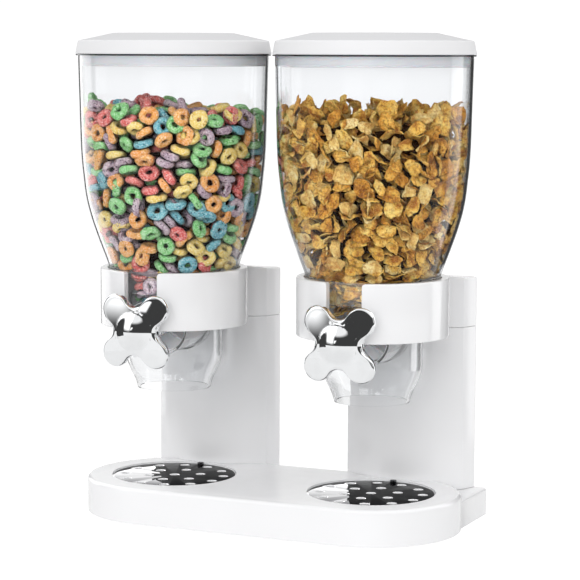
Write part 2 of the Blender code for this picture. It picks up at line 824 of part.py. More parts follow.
def tray_pieces(side, x):
    """A perforated disc with a locating lip, which lifts out of the base."""
    low = TRAY_TOP - TRAY_T
    tray = turned(
        "drip_tray_" + side,
        [
            (0, TRAY_TOP),
            (TRAY_R, TRAY_TOP),
            (TRAY_R, low),
            (WELL_R - 0.4, low),
            (WELL_R - 0.4, low - 3.5),
            (WELL_R - 1.6, low - 3.5),
            (WELL_R - 1.6, low),
            (0, low),
        ],
        32,
        "chrome",
        at=(x, AXIS_Y, 0),
        closed=False,
    )
    # a small tab at the back to lift it by
    tab = box("tray_tab_" + side, (-2.2, 46.0, low + 0.7), (2.2, 50.6, TRAY_TOP + 2.0), at=(x, AXIS_Y, 0))
    boolean(tray, tab, "UNION")
    bm = bmesh.new()
    for count, ring in HOLE_RINGS:
        for k in range(count):
            a = 2 * math.pi * (k + 0.5) / count
            bmesh.ops.create_cone(
                bm,
                cap_ends=True,
                segments=6,
                radius1=HOLE_R * MM,
                radius2=HOLE_R * MM,
                depth=8 * MM,
                matrix=Matrix.Translation(
                    Vector((ring * math.cos(a), ring * math.sin(a), TRAY_TOP)) * MM
                ),
            )
    holes = put("tray_holes_" + side, mesh_of(bm, "tray_holes"), at=(x, AXIS_Y, 0))
    boolean(tray, holes)
    smooth(tray)


for side, x in SIDES:
    column_pieces(side, x)
    canister_pieces(side, x)
    lid_pieces(side, x)
    knob_pieces(side, x)
    tray_pieces(side, x)
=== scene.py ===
"""Looks of the twin cereal dispenser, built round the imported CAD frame."""

import json
import math

import bmesh
import bpy
import numpy as np
from mathutils import Matrix, Vector
from mathutils.kdtree import KDTree


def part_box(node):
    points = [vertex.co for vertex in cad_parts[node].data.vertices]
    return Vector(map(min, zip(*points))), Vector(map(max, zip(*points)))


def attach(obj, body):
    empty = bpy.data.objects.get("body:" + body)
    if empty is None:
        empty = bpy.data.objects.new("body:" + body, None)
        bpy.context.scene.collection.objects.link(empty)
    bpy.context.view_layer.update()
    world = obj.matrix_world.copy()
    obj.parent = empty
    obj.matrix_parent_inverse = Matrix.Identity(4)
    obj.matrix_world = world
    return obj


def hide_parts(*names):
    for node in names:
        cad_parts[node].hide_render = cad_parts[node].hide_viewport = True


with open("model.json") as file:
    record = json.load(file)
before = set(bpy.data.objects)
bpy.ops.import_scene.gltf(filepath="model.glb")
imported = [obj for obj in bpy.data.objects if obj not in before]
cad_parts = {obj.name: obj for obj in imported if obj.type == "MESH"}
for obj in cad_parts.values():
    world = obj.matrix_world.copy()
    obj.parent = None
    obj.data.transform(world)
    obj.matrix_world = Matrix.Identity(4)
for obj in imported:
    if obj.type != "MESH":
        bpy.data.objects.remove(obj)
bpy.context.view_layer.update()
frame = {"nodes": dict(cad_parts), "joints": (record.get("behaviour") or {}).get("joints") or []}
NODES = frame["nodes"]
SCENE = bpy.context.scene
MM = 0.001
SIDES = ("left", "right")

# --------------------------------------------------------------------------
# places, read from the frame (millimetres)
# --------------------------------------------------------------------------


def mmbox(node):
    low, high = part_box(node)
    return np.array(low) / MM, np.array(high) / MM


CAN = {s: mmbox("canister_" + s) for s in SIDES}
AX = {s: (CAN[s][0][0] + CAN[s][1][0]) / 2 for s in SIDES}
AY = (CAN["left"][0][1] + CAN["left"][1][1]) / 2
SHAFT_Z = [j for j in frame["joints"] if j["name"] == "left_knob_turn"][0]["pos_m"][2] / MM
PITCH = AX["right"] - AX["left"]
HALF = PITCH / 2
LID_LOW, LID_HIGH = mmbox("lid_left")
LID_BOTTOM, LID_TOP, LID_R = LID_LOW[2], LID_HIGH[2], (LID_HIGH[0] - LID_LOW[0]) / 2
RIM_Z = CAN["left"][1][2]
NECK_Z = CAN["left"][0][2]
COLLAR_LOW, COLLAR_HIGH = mmbox("collar_left")
RING_R = (COLLAR_HIGH[0] - COLLAR_LOW[0]) / 2
CHUTE_LOW, CHUTE_HIGH = mmbox("outlet_chute_left")
TRAY_LOW, TRAY_HIGH = mmbox("drip_tray_left")
TRAY_R, TRAY_TOP = (TRAY_HIGH[0] - TRAY_LOW[0]) / 2, TRAY_LOW[2] + 4.9
KNOB_LOW, KNOB_HIGH = mmbox("knob_left")
BASE_LOW, BASE_HIGH = mmbox("base_shell")
GAP = 0.3

# --------------------------------------------------------------------------
# mesh helpers, all in millimetres until to_object()
# --------------------------------------------------------------------------


def to_object(name, verts, faces, smooth=35.0):
    mesh = bpy.data.meshes.new(name)
    mesh.from_pydata([tuple(float(c) * MM for c in v) for v in verts], [], [tuple(int(i) for i in f) for f in faces])
    mesh.validate()
    mesh.update()
    obj = bpy.data.objects.new(name, mesh)
    SCENE.collection.objects.link(obj)
    if smooth is not None:
        mesh.shade_smooth()
        mesh.set_sharp_from_angle(angle=math.radians(smooth))
    return obj


def fresh_normals(obj):
    bm = bmesh.new()
    bm.from_mesh(obj.data)
    bmesh.ops.recalc_face_normals(bm, faces=bm.faces)
    bm.to_mesh(obj.data)
    bm.free()
    return obj


def fillet(points, closed=True, steps=5):
    """A polyline of (x, y) or (x, y, radius), with an arc at each corner that has a radius."""
    out, n = [], len(points)
    for i, p in enumerate(points):
        radius = p[2] if len(p) > 2 else 0.0
        here = np.array(p[:2], float)
        if radius <= 0 or (not closed and i in (0, n - 1)):
            out.append(tuple(here))
            continue
        before = np.array(points[i - 1][:2], float)
        after = np.array(points[(i + 1) % n][:2], float)
        a, b = before - here, after - here
        la, lb = np.linalg.norm(a), np.linalg.norm(b)
        a, b = a / la, b / lb
        angle = math.acos(max(-1.0, min(1.0, float(a @ b))))
        if angle > math.pi - 0.02:
            out.append(tuple(here))
            continue
        reach = min(radius / math.tan(angle / 2), la * 0.49, lb * 0.49)
        r = reach * math.tan(angle / 2)
        mid = (a + b) / np.linalg.norm(a + b)
        centre = here + mid * (r / math.sin(angle / 2))
        start, end = here + a * reach - centre, here + b * reach - centre
        a0, a1 = math.atan2(start[1], start[0]), math.atan2(end[1], end[0])
        turn = (a1 - a0 + math.pi) % (2 * math.pi) - math.pi
        for k in range(steps + 1):
            t = a0 + turn * k / steps
            out.append((centre[0] + r * math.cos(t), centre[1] + r * math.sin(t)))
    return out


def catmull(points, per=8):
    """A smooth curve through the points."""
    pts = [np.array(p, float) for p in points]
    pts = [2 * pts[0] - pts[1]] + pts + [2 * pts[-1] - pts[-2]]
    out = []
    for i in range(1, len(pts) - 2):
        p0, p1, p2, p3 = pts[i - 1 : i + 3]
        for k in range(per):
            t = k / per
            out.append(
                0.5
                * (
                    2 * p1
                    + (p2 - p0) * t
                    + (2 * p0 - 5 * p1 + 4 * p2 - p3) * t * t
                    + (3 * p1 - p0 - 3 * p2 + p3) * t**3
                )
            )
    out.append(pts[-2])
    return [tuple(p) for p in out]


def turned(name, profile, centre, segs=128, closed=True, smooth=35.0, axis="Z"):
    """A surface of revolution from a profile of (radius, height)."""
    verts, rings = [], []
    for r, z in profile:
        if r < 1e-6:
            rings.append([len(verts)] * segs)
            verts.append((0.0, 0.0, z))
        else:
            rings.append(list(range(len(verts), len(verts) + segs)))
            for k in range(segs):
                a = 2 * math.pi * k / segs
                verts.append((r * math.cos(a), r * math.sin(a), z))
    faces = []
    pairs = list(zip(rings, rings[1:]))
    if closed:
        pairs.append((rings[-1], rings[0]))
    for low, high in pairs:
        for k in range(segs):
            j = (k + 1) % segs
            loop = [low[k], low[j], high[j], high[k]]
            loop = [v for i, v in enumerate(loop) if v not in loop[:i]]
            if len(loop) > 2:
                faces.append(loop)
    verts = np.array(verts)
    if axis == "Y":  # local Z towards the front, -Y
        verts = np.stack([verts[:, 0], -verts[:, 2], verts[:, 1]], 1)
    verts = verts + np.array(centre)
    obj = to_object(name, verts, faces, smooth=None)
    fresh_normals(obj)
    if smooth is not None:
        obj.data.shade_smooth()
        obj.data.set_sharp_from_angle(angle=math.radians(smooth))
    return obj


def loft(name, loops, centre=(0, 0, 0), smooth=35.0, caps=True):
    """Loops of equal length joined one after the other, with flat caps."""
    n = len(loops[0])
    verts = np.array([p for loop in loops for p in loop], float) + np.array(centre)
    faces = []
    for i in range(len(loops) - 1):
        for k in range(n):
            j = (k + 1) % n
            faces.append((i * n + k, i * n + j, (i + 1) * n + j, (i + 1) * n + k))
    if caps:
        faces.append(tuple(range(n)))
        faces.append(tuple(range((len(loops) - 1) * n, len(loops) * n)))
    obj = to_object(name, verts, faces, smooth=None)
    fresh_normals(obj)
    if smooth is not None:
        obj.data.shade_smooth()
        obj.data.set_sharp_from_angle(angle=math.radians(smooth))
    return obj


def edge_levels(z0, z1, bottom, top, steps=5):
    """(inset, z) levels of a prism whose bottom and top edges are rounded."""
    levels = []
    if bottom > 0:
        for k in range(steps + 1):
            a = math.pi / 2 * k / steps
            levels.append((bottom * (1 - math.sin(a)), z0 + bottom * (1 - math.cos(a))))
    else:
        levels.append((0.0, z0))
    if top > 0:
        for k in range(steps + 1):
            a = math.pi / 2 * k / steps
            levels.append((top * (1 - math.cos(a)), z1 - top * (1 - math.sin(a))))
    else:
        levels.append((0.0, z1))
    return levels


def prism(name, outline, z0, z1, bottom=0.0, top=0.0, centre=(0, 0, 0), steps=5, smooth=35.0):
    """outline(inset) gives the plan points; the ends are rounded by bottom and top."""
    loops = [
        [(x, y, z) for x, y in outline(inset)]
        for inset, z in edge_levels(z0, z1, bottom, top, steps)
    ]
    return loft(name, loops, centre, smooth)


def cutter(obj):
    obj.hide_render = True
    obj.hide_viewport = False
    return obj


def boolean(obj, other, operation="DIFFERENCE"):
    """Applies one exact Boolean and removes the other object."""
    mod = obj.modifiers.new("cut", "BOOLEAN")
    mod.operation, mod.object, mod.solver = operation, other, "EXACT"
    bpy.context.view_layer.update()
    graph = bpy.context.evaluated_depsgraph_get()
    mesh = bpy.data.meshes.new_from_object(obj.evaluated_get(graph))
    obj.modifiers.remove(mod)
    old = obj.data
    obj.data = mesh
    mesh.name = obj.name
    bpy.data.meshes.remove(old)
    bpy.data.objects.remove(other, do_unlink=True)
    return obj


def reshade(obj, angle=30.0):
    bm = bmesh.new()
    bm.from_mesh(obj.data)
    bmesh.ops.remove_doubles(bm, verts=bm.verts, dist=2e-6)
    bmesh.ops.dissolve_degenerate(bm, edges=bm.edges, dist=1e-6)
    bm.to_mesh(obj.data)
    bm.free()
    obj.data.shade_smooth()
    obj.data.set_sharp_from_angle(angle=math.radians(angle))
    return obj


def block(name, low, high, centre=(0, 0, 0)):
    (x0, y0, z0), (x1, y1, z1) = low, high
    loops = [[(x0, y0, z), (x1, y0, z), (x1, y1, z), (x0, y1, z)] for z in (z0, z1)]
    return loft(name, loops, centre, smooth=None)


# --------------------------------------------------------------------------
# materials: every one is a node tree with variation at the scale of the real surface
# --------------------------------------------------------------------------


class Nodes:
    def __init__(self, name):
        self.mat = bpy.data.materials.new(name)
        self.mat.use_nodes = True
        self.tree = self.mat.node_tree
        self.shader = self.tree.nodes["Principled BSDF"]
        self.out = self.tree.nodes["Material Output"]
        self.coord = None

    def add(self, kind, **values):
        node = self.tree.nodes.new(kind)
        for key, value in values.items():
            if key.startswith("in_"):
                key = key[3:]
                key = int(key) if key.isdigit() else key.replace("_", " ")
                node.inputs[key].default_value = value
            else:
                setattr(node, key, value)
        return node

    def link(self, a, b):
        self.tree.links.new(a, b)

    def where(self):
        if self.coord is None:
            self.coord = self.add("ShaderNodeTexCoord")
        return self.coord.outputs["Object"]

    def noise(self, scale, detail=3.0, rough=0.55, distort=0.0):
        node = self.add("ShaderNodeTexNoise")
        node.inputs["Scale"].default_value = scale
        node.inputs["Detail"].default_value = detail
        node.inputs["Roughness"].default_value = rough
        node.inputs["Distortion"].default_value = distort
        self.link(self.where(), node.inputs["Vector"])
        return node.outputs["Fac"]

    def ramp(self, source, stops, mode="LINEAR"):
        node = self.add("ShaderNodeValToRGB")
        node.color_ramp.interpolation = mode
        ramp = node.color_ramp
        while len(ramp.elements) > 1:
            ramp.elements.remove(ramp.elements[-1])
        for i, (at, colour) in enumerate(stops):
            element = ramp.elements[0] if i == 0 else ramp.elements.new(at)
            element.position = at
            if not hasattr(colour, "__len__"):
                colour = (colour, colour, colour)
            element.color = (*colour, 1.0)
        self.link(source, node.inputs["Fac"])
        return node.outputs["Color"]

    def span(self, source, low, high, from_low=0.3, from_high=0.7):
        node = self.add("ShaderNodeMapRange")
        node.inputs["From Min"].default_value = from_low
        node.inputs["From Max"].default_value = from_high
        node.inputs["To Min"].default_value = low
        node.inputs["To Max"].default_value = high
        self.link(source, node.inputs["Value"])
        return node.outputs["Result"]

    def mix(self, fac, a, b, mode="MIX"):
        node = self.add("ShaderNodeMix", data_type="RGBA", blend_type=mode)
        sockets = [s for s in node.inputs if s.enabled]
        for socket, value in zip(sockets, (fac, a, b)):
            if isinstance(value, bpy.types.NodeSocket):
                self.link(value, socket)
            elif hasattr(value, "__len__"):
                socket.default_value = (*value, 1.0)
            else:
                socket.default_value = value
        return [s for s in node.outputs if s.enabled][0]

    def bump(self, height, strength, distance, normal=None):
        node = self.add("ShaderNodeBump")
        node.inputs["Strength"].default_value = strength
        node.inputs["Distance"].default_value = distance
        self.link(height, node.inputs["Height"])
        if normal is not None:
            self.link(normal, node.inputs["Normal"])
        return node.outputs["Normal"]

    def set(self, **values):
        for key, value in values.items():
            socket = self.shader.inputs[key.replace("_", " ")]
            if isinstance(value, bpy.types.NodeSocket):
                self.link(value, socket)
            elif hasattr(value, "__len__") and socket.type == "RGBA":
                socket.default_value = (*value, 1.0)
            else:
                socket.default_value = value
        return self


def white_plastic(name, colour=(0.80, 0.80, 0.81), rough=0.16, coat=0.25, specular=0.5):
    """Glossy moulded ABS: faint flow waviness, fine dust-scale speckle and uneven gloss."""
    n = Nodes(name)
    broad = n.noise(9.0, 2.0)
    fine = n.noise(420.0, 3.0)
    darker = tuple(c * 0.975 for c in colour)
    n.set(
        Base_Color=n.mix(n.span(broad, 0.0, 1.0), colour, darker),
        Roughness=n.span(n.noise(60.0, 4.0), rough * 0.8, rough * 1.3),
        Coat_Weight=coat,
        Coat_Roughness=0.06,
        IOR=1.5,
        Specular_IOR_Level=specular,
        Normal=n.bump(fine, 0.05, 0.0002, n.bump(n.noise(24.0, 2.0), 0.05, 0.002)),
    )
    return n.mat


def matt_plastic(name, colour, rough=0.5):
    """Spark-eroded moulding texture."""
    n = Nodes(name)
    grain = n.noise(900.0, 2.0)
    n.set(
        Base_Color=n.mix(n.span(n.noise(30.0), 0.0, 1.0), colour, tuple(c * 0.93 for c in colour)),
        Roughness=n.span(grain, rough * 0.85, rough * 1.2),
        Normal=n.bump(grain, 0.25, 0.0003),
    )
    return n.mat


def clear_plastic(name, tint=(0.94, 0.947, 0.957), rough=0.015, glare=0.12):
    """Clear styrene: clean, faintly wavy walls; lamps reach what is behind it."""
    n = Nodes(name)
    n.set(
        Base_Color=tint,
        Roughness=n.span(n.noise(35.0, 4.0), rough * 0.5, rough * 2.0),
        Transmission_Weight=1.0,
        IOR=1.49,
        Specular_Tint=(glare, glare, glare),
        Normal=n.bump(n.noise(14.0, 1.0), 0.03, 0.002),
    )
    path = n.add("ShaderNodeLightPath")
    through = n.add("ShaderNodeBsdfTransparent")
    through.inputs["Color"].default_value = (0.93, 0.94, 0.95, 1)
    mixed = n.add("ShaderNodeMixShader")
    n.link(path.outputs["Is Shadow Ray"], mixed.inputs[0])
    n.link(n.shader.outputs[0], mixed.inputs[1])
    n.link(through.outputs[0], mixed.inputs[2])
    n.link(mixed.outputs[0], n.out.inputs["Surface"])
    return n.mat


def thin_clear(name):
    """The neck's thin clear moulding: a faint film over what is behind it."""
    n = Nodes(name)
    n.set(Base_Color=(0.9, 0.91, 0.92), Roughness=n.span(n.noise(35.0, 4.0), 0.05, 0.15))
    through = n.add("ShaderNodeBsdfTransparent")
    mixed = n.add("ShaderNodeMixShader")
    n.link(n.span(n.noise(14.0, 1.0), 0.90, 0.95), mixed.inputs[0])
    n.link(n.shader.outputs[0], mixed.inputs[1])
    n.link(through.outputs[0], mixed.inputs[2])
    n.link(mixed.outputs[0], n.out.inputs["Surface"])
    return n.mat


def chrome(name, colour=(0.88, 0.89, 0.90), rough=0.03, edge=None):
    """Bright plating over plastic: slight waviness and faint smudges."""
    n = Nodes(name)
    smudge = n.noise(45.0, 5.0, 0.6)
    n.set(
        Base_Color=n.mix(n.span(smudge, 0.0, 1.0, 0.45, 0.75), colour, tuple(c * 0.94 for c in colour)),
        Metallic=1.0,
        Roughness=n.span(smudge, rough * 0.6, rough * 2.2),
        Normal=n.bump(n.noise(55.0, 1.0), 0.015, 0.001),
    )
    if edge is not None:
        n.shader.inputs["Specular Tint"].default_value = (*edge, 1.0)
    return n.mat


def silicone(name, colour=(0.60, 0.605, 0.62)):
    n = Nodes(name)
    n.set(
        Base_Color=n.mix(n.span(n.noise(40.0), 0.0, 1.0), colour, tuple(c * 0.97 for c in colour)),
        Roughness=n.span(n.noise(300.0, 3.0), 0.4, 0.55),
        Subsurface_Weight=0.3,
        Subsurface_Scale=0.003,
        IOR=1.41,
        Normal=n.bump(n.noise(500.0, 2.0), 0.08, 0.0002),
    )
    return n.mat


def rubber(name, colour=(0.035, 0.035, 0.038)):
    n = Nodes(name)
    grain = n.noise(1400.0, 2.0)
    n.set(
        Base_Color=n.mix(n.span(n.noise(80.0), 0.0, 1.0), colour, tuple(c * 1.8 for c in colour)),
        Roughness=n.span(grain, 0.65, 0.9),
        Normal=n.bump(grain, 0.3, 0.0003),
    )
    return n.mat


def zinc_steel(name):
    n = Nodes(name)
    fleck = n.noise(700.0, 3.0)
    n.set(
        Base_Color=n.ramp(fleck, [(0.3, (0.50, 0.51, 0.53)), (0.7, (0.68, 0.69, 0.71))]),
        Metallic=1.0,
        Roughness=n.span(fleck, 0.22, 0.42),
        Normal=n.bump(fleck, 0.1, 0.0002),
    )
    return n.mat


def give(obj, *mats):
    obj.data.materials.clear()
    for m in mats:
        obj.data.materials.append(m)
    return obj


WHITE = white_plastic("white_abs")
WHITE_LID = white_plastic("white_lid", (0.72, 0.72, 0.73), 0.34, coat=0.0, specular=0.0)
# a darker copy of the lid's white for the crown's upward faces: painted shade on the lid's top
WHITE_LID_TOP_PAINTED_SHADE = white_plastic("white_lid_crown_painted_shade", (0.575, 0.575, 0.585), 0.34, coat=0.0, specular=0.0)
WHITE_MATT = matt_plastic("white_matt_moulding", (0.74, 0.74, 0.75))
CLEAR = clear_plastic("clear_styrene")
CLEAR_LOW = clear_plastic("clear_outlet", (0.97, 0.975, 0.98), 0.02, 0.9)
THIN = thin_clear("clear_neck")
# the rim's clear plastic is tinted nearly black: a painted dark line where the rim is seen edge on
CLEAR_RIM_PAINTED_DARK = clear_plastic("clear_rim_painted_dark_edge_on", (0.13, 0.13, 0.14), 0.02, 0.3)
CHROME = chrome("chrome_plating")
MIRROR = chrome("mirror_plate", (0.06, 0.06, 0.062), 0.012, edge=(0.37, 0.37, 0.37))
DARK_TAB = chrome("dark_plated_tab", (0.10, 0.10, 0.105), 0.08)
SILICONE = silicone("translucent_silicone")
RUBBER = rubber("foot_rubber")
ZINC = zinc_steel("zinc_steel")
NYLON = matt_plastic("natural_nylon", (0.70, 0.69, 0.66), 0.42)

# --------------------------------------------------------------------------
# camera, light and floor
# --------------------------------------------------------------------------


CAMERA_AZ = math.radians(24.67)
BACK_AZ = (11.0, 17.0)  # half width of the white panel behind, and where it has faded to nothing


def make_camera():
    azimuth, pitch, roll = CAMERA_AZ, math.radians(6.15), math.radians(0.15)
    scale = PITCH / 180.0
    target = Vector((0, AY, 200.0 * scale)) * MM
    distance = 1768.5 * scale * MM
    back = Vector(
        (
            math.cos(pitch) * math.sin(azimuth),
            -math.cos(pitch) * math.cos(azimuth),
            math.sin(pitch),
        )
    )
    cam = bpy.data.cameras.new("camera")
    cam.sensor_width = 36.0
    cam.lens = 2146.12 / 580 * 36
    cam.shift_x, cam.shift_y = (290 - 271.31) / 580, (279.48 - 290) / 580
    cam.clip_start, cam.clip_end = 0.05, 50
    obj = bpy.data.objects.new("camera", cam)
    SCENE.collection.objects.link(obj)
    obj.location = target + back * distance
    turn = back.to_track_quat("Z", "Y").to_matrix().to_4x4()
    obj.rotation_euler = (turn @ Matrix.Rotation(roll, 4, "Z")).to_euler()
    SCENE.camera = obj


def area(name, at, towards, size, power, colour=(1, 1, 1), size_y=None):
    lamp = bpy.data.lights.new(name, "AREA")
    lamp.energy, lamp.color = power, colour
    lamp.shape = "RECTANGLE"
    lamp.size, lamp.size_y = size, size_y or size
    obj = bpy.data.objects.new(name, lamp)
    SCENE.collection.objects.link(obj)
    obj.location = at
    direction = Vector(towards) - Vector(at)
    obj.rotation_euler = direction.to_track_quat("-Z", "Y").to_euler()
    return obj


def make_world():
    """A studio by direction: a white panel behind, a light strip on each side, a light ceiling, a dark room in front."""
    world = bpy.data.worlds.new("studio")
    SCENE.world = world
    world.use_nodes = True
    tree = world.node_tree
    tree.nodes.clear()
    new = tree.nodes.new
    out = new("ShaderNodeOutputWorld")
    coord = new("ShaderNodeTexCoord")
    split = new("ShaderNodeSeparateXYZ")
    tree.links.new(coord.outputs["Generated"], split.inputs[0])

    def plug(socket, value):
        if isinstance(value, (int, float)):
            socket.default_value = value
        else:
            tree.links.new(value, socket)

    def calc(op, a, b=0.0):
        node = new("ShaderNodeMath")
        node.operation = op
        plug(node.inputs[0], a)
        plug(node.inputs[1], b)
        return node.outputs[0]

    def step(value, at, to):
        """0 below at, 1 above to; the other way round when to is the smaller."""
        node = new("ShaderNodeMapRange")
        node.interpolation_type = "SMOOTHSTEP"
        low, high = min(at, to), max(at, to)
        plug(node.inputs["Value"], value)
        node.inputs["From Min"].default_value, node.inputs["From Max"].default_value = low, high
        up = to > at
        node.inputs["To Min"].default_value, node.inputs["To Max"].default_value = (0, 1) if up else (1, 0)
        return node.outputs["Result"]

    def both(*values):
        result = values[0]
        for v in values[1:]:
            result = calc("MULTIPLY", result, v)
        return result

    def total(*values):
        result = values[0]
        for v in values[1:]:
            result = calc("ADD", result, v)
        return result

    x, y, z = split.outputs
    ca, sa = math.cos(CAMERA_AZ), math.sin(CAMERA_AZ)
    ahead = calc("ADD", calc("MULTIPLY", x, -sa), calc("MULTIPLY", y, ca))
    aside = calc("ADD", calc("MULTIPLY", x, ca), calc("MULTIPLY", y, sa))
    az = calc("MULTIPLY", calc("ARCTAN2", aside, ahead), 180 / math.pi)
    el = calc("MULTIPLY", calc("ARCSINE", z), 180 / math.pi)
    away = calc("ABSOLUTE", az)

    panel = both(step(away, BACK_AZ[1], BACK_AZ[0]), step(el, -1.0, 0.0), step(el, 62.0, 50.0), 0.83)
    left_strip = both(step(az, -66.0, -62.0), step(az, -23.0, -27.0), step(el, 58.0, 50.0), 1.5)
    right_strip = both(step(az, 56.0, 60.0), step(az, 84.0, 80.0), step(el, 58.0, 50.0), 1.9)
    left_fill = both(step(az, -131.0, -119.0), step(az, -90.0, -98.0), step(el, -6.0, 9.0), step(el, 46.0, 36.0), 1.45)
    wedge = both(step(total(az, both(el, 0.55)), -134.0, -133.0), step(total(az, both(el, 0.15)), -127.5, -128.5), step(el, 2.0, 3.0), step(el, 15.0, 14.0), 1.2)
    right_fill = both(step(az, 96.0, 108.0), step(az, 150.0, 132.0), step(el, -3.0, 8.0), 0.55)
    ceiling = both(step(el, 24.0, 34.0), 0.95)
    # the pale floor: a strip of it behind, all of it in front and where it is near
    behind = both(step(away, 90.0, 89.0), step(el, 0.0, -1.0), step(away, 17.0, 12.0))
    near = both(step(away, 90.0, 89.0), step(away, 12.0, 17.0), step(el, -20.0, -26.0))
    front = both(step(away, 89.0, 90.0), step(el, -7.6, -8.2), 0.93)
    below = total(behind, near, front)
    dim = 0.05
    level = total(dim, panel, left_strip, right_strip, left_fill, wedge, right_fill, ceiling, below)
    path = new("ShaderNodeLightPath")
    seen = path.outputs["Is Camera Ray"]
    # seen straight through a clear wall, the room beside and in front of the object is as pale as the room behind it
    first = calc("SUBTRACT", 1.0, calc("MINIMUM", path.outputs["Diffuse Depth"], 1.0))
    pale = both(step(away, 68.0, 74.0), step(el, -16.0, -12.0), path.outputs["Is Transmission Ray"], first, 0.86)
    level = calc("MAXIMUM", level, pale)
    level = total(both(level, calc("SUBTRACT", 1.0, seen)), calc("MULTIPLY", seen, 1.05))
    shade = new("ShaderNodeBackground")
    shade.inputs["Color"].default_value = (1.0, 1.0, 1.0, 1)
    tree.links.new(level, shade.inputs["Strength"])
    tree.links.new(shade.outputs[0], out.inputs["Surface"])


def make_floor():
    verts = [(0.0, 0.0, 0.0)]
    faces = []
    n = 96
    for k in range(n):
        a = 2 * math.pi * k / n
        verts.append((600 * math.cos(a), 600 * math.sin(a), 0.0))
        faces.append((0, 1 + k, 1 + (k + 1) % n))
    floor = to_object("floor", verts, faces, smooth=None)
    n = Nodes("pale_floor")
    n.set(
        Base_Color=n.mix(n.span(n.noise(3.0), 0.0, 1.0), (0.30, 0.30, 0.30), (0.28, 0.28, 0.28)),
        Roughness=0.8,
        Specular_IOR_Level=0.0,
        Emission_Color=(1.0, 1.0, 1.0),
    )
    path = n.add("ShaderNodeLightPath")
    n.link(n.span(path.outputs["Is Camera Ray"], 0.55, 0.80, 0.0, 1.0), n.shader.inputs["Emission Strength"])
    give(floor, n.mat)


make_camera()
make_world()
make_floor()
KEYS = [
    area("key_right", (1.9, -1.6, 0.9), (0, 0, 0.2), 1.2, 11.5),
    area("key_front", (0.25, -2.28, 0.92), (0, 0, 0.2), 1.6, 24.5),
]
for key in KEYS:
    key.visible_glossy = False
SCENE.view_settings.view_transform = "Standard"

# --------------------------------------------------------------------------
# base
# --------------------------------------------------------------------------
PLATE_R = 72.0
PLATE_TOP = BASE_HIGH[2]
SHELL_BOTTOM = BASE_LOW[2]
BACK_Y = BASE_HIGH[1] - AY
BLOCK_HALF = BASE_HIGH[0]
if BLOCK_HALF > HALF + PLATE_R - 0.01:
    BLOCK_HALF = HALF + 67.5
BLOCK_TOP = 22.3
WALL = 3.0
COL_BACK, COL_FRONT, COL_NOSE = (57.0, 89.7), (51.0, 72.8), 55.0


def stadium(radius, steps=48):
    def outline(inset):
        r = radius - inset
        right = [
            (HALF + r * math.sin(math.pi * i / steps), AY - r * math.cos(math.pi * i / steps))
            for i in range(steps + 1)
        ]
        return right + [(-x, 2 * AY - y) for x, y in right]

    return outline


def rect(x0, x1, y0, y1, radius, steps=6):
    def outline(inset):
        r = max(radius - inset, 0.05)
        a0, a1, b0, b1 = x0 + inset, x1 - inset, y0 + inset, y1 - inset
        points = []
        for cx, cy, start in (
            (a1 - r, b0 + r, -90),
            (a1 - r, b1 - r, 0),
            (a0 + r, b1 - r, 90),
            (a0 + r, b0 + r, 180),
        ):
            for i in range(steps + 1):
                a = math.radians(start + 90 * i / steps)
                points.append((cx + r * math.cos(a), cy + r * math.sin(a)))
        return points

    return outline


def column_plan(x, grow=0.0, corner=3.0, back=1.8, steps=24):
    """Plan of a column: bowed front, slanted sides, flat back."""

    def outline(inset):
        g = grow - inset
        bx, by = COL_BACK[0] + g, COL_BACK[1] + g
        fx, fy = COL_FRONT[0] + g, COL_FRONT[1]
        nose = COL_NOSE - g
        rise = fy - nose
        radius = (fx * fx + rise * rise) / (2 * rise)
        half = math.asin(fx / radius)
        arc = [
            (
                radius * math.sin(-half + 2 * half * i / steps),
                AY + nose + radius - radius * math.cos(-half + 2 * half * i / steps),
            )
            for i in range(steps + 1)
        ]
        pts = [(*arc[0], corner)] + arc[2:-2] + [(*arc[-1], corner)]
        pts += [(bx, AY + by, back), (-bx, AY + by, back)]
        return [(x + u, v) for u, v in fillet(pts, True, 5)]

    return outline


def make_base():
    shell = prism("base_shell_fine", stadium(PLATE_R), SHELL_BOTTOM, PLATE_TOP, 0.0, 3.2, steps=6)
    rear = prism(
        "rear_block",
        rect(-BLOCK_HALF, BLOCK_HALF, AY + 4, AY + BACK_Y, 5.0),
        SHELL_BOTTOM,
        BLOCK_TOP,
        0.0,
        1.6,
    )
    boolean(shell, rear, "UNION")
    hollow = prism("hollow", rect(-BLOCK_HALF + WALL, BLOCK_HALF - WALL, AY + 10, AY + BACK_Y - WALL, 3.0), -2, BLOCK_TOP - WALL)
    boolean(hollow, prism("h2", stadium(PLATE_R - WALL, 24), -1.5, BLOCK_TOP - WALL - 0.4), "UNION")
    boolean(shell, hollow)
    for s in SIDES:
        boolean(shell, turned("seat", [(0, 40), (TRAY_R + GAP, 40), (TRAY_R + GAP, 26.9), (0, 26.9)], (AX[s], AY, 0), 128, False))
        boolean(shell, turned("well", [(0, 40), (48.0, 40), (48.0, 20.5), (46.5, 19.3), (0, 19.3)], (AX[s], AY, 0), 96, False))
        boolean(shell, prism("pocket", column_plan(AX[s], GAP), BLOCK_TOP, 60))
    reshade(shell)
    give(shell, WHITE)
    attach(shell, "stand")
    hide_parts("base_shell")


make_base()

# --------------------------------------------------------------------------
# columns, collars with heads
# --------------------------------------------------------------------------
COL_FOOT, COL_TOP = BLOCK_TOP + GAP, 156.6
HEAD_LOW, HEAD_CORNER, HEAD_CROWN = 156.9, 196.9, 4.5
RING_IN, RING_TOP = 54.6, 203.5
SLOT_W = 29.5


def make_column(s):
    x = AX[s]
    column = prism("column_shell_" + s, column_plan(x), COL_FOOT, COL_TOP, 0.0, 0.5, steps=3)
    inner = prism("inner", column_plan(x, -2.6, 1.5, 1.0), COL_FOOT + 3.4, 300)
    boolean(column, inner)
    boolean(column, block("back", (x - 53, AY + 86.5, COL_FOOT + 3.4), (x + 53, AY + 120, 300)))
    reshade(column)
    give(column, WHITE)
    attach(column, "stand")
    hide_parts("column_" + s)


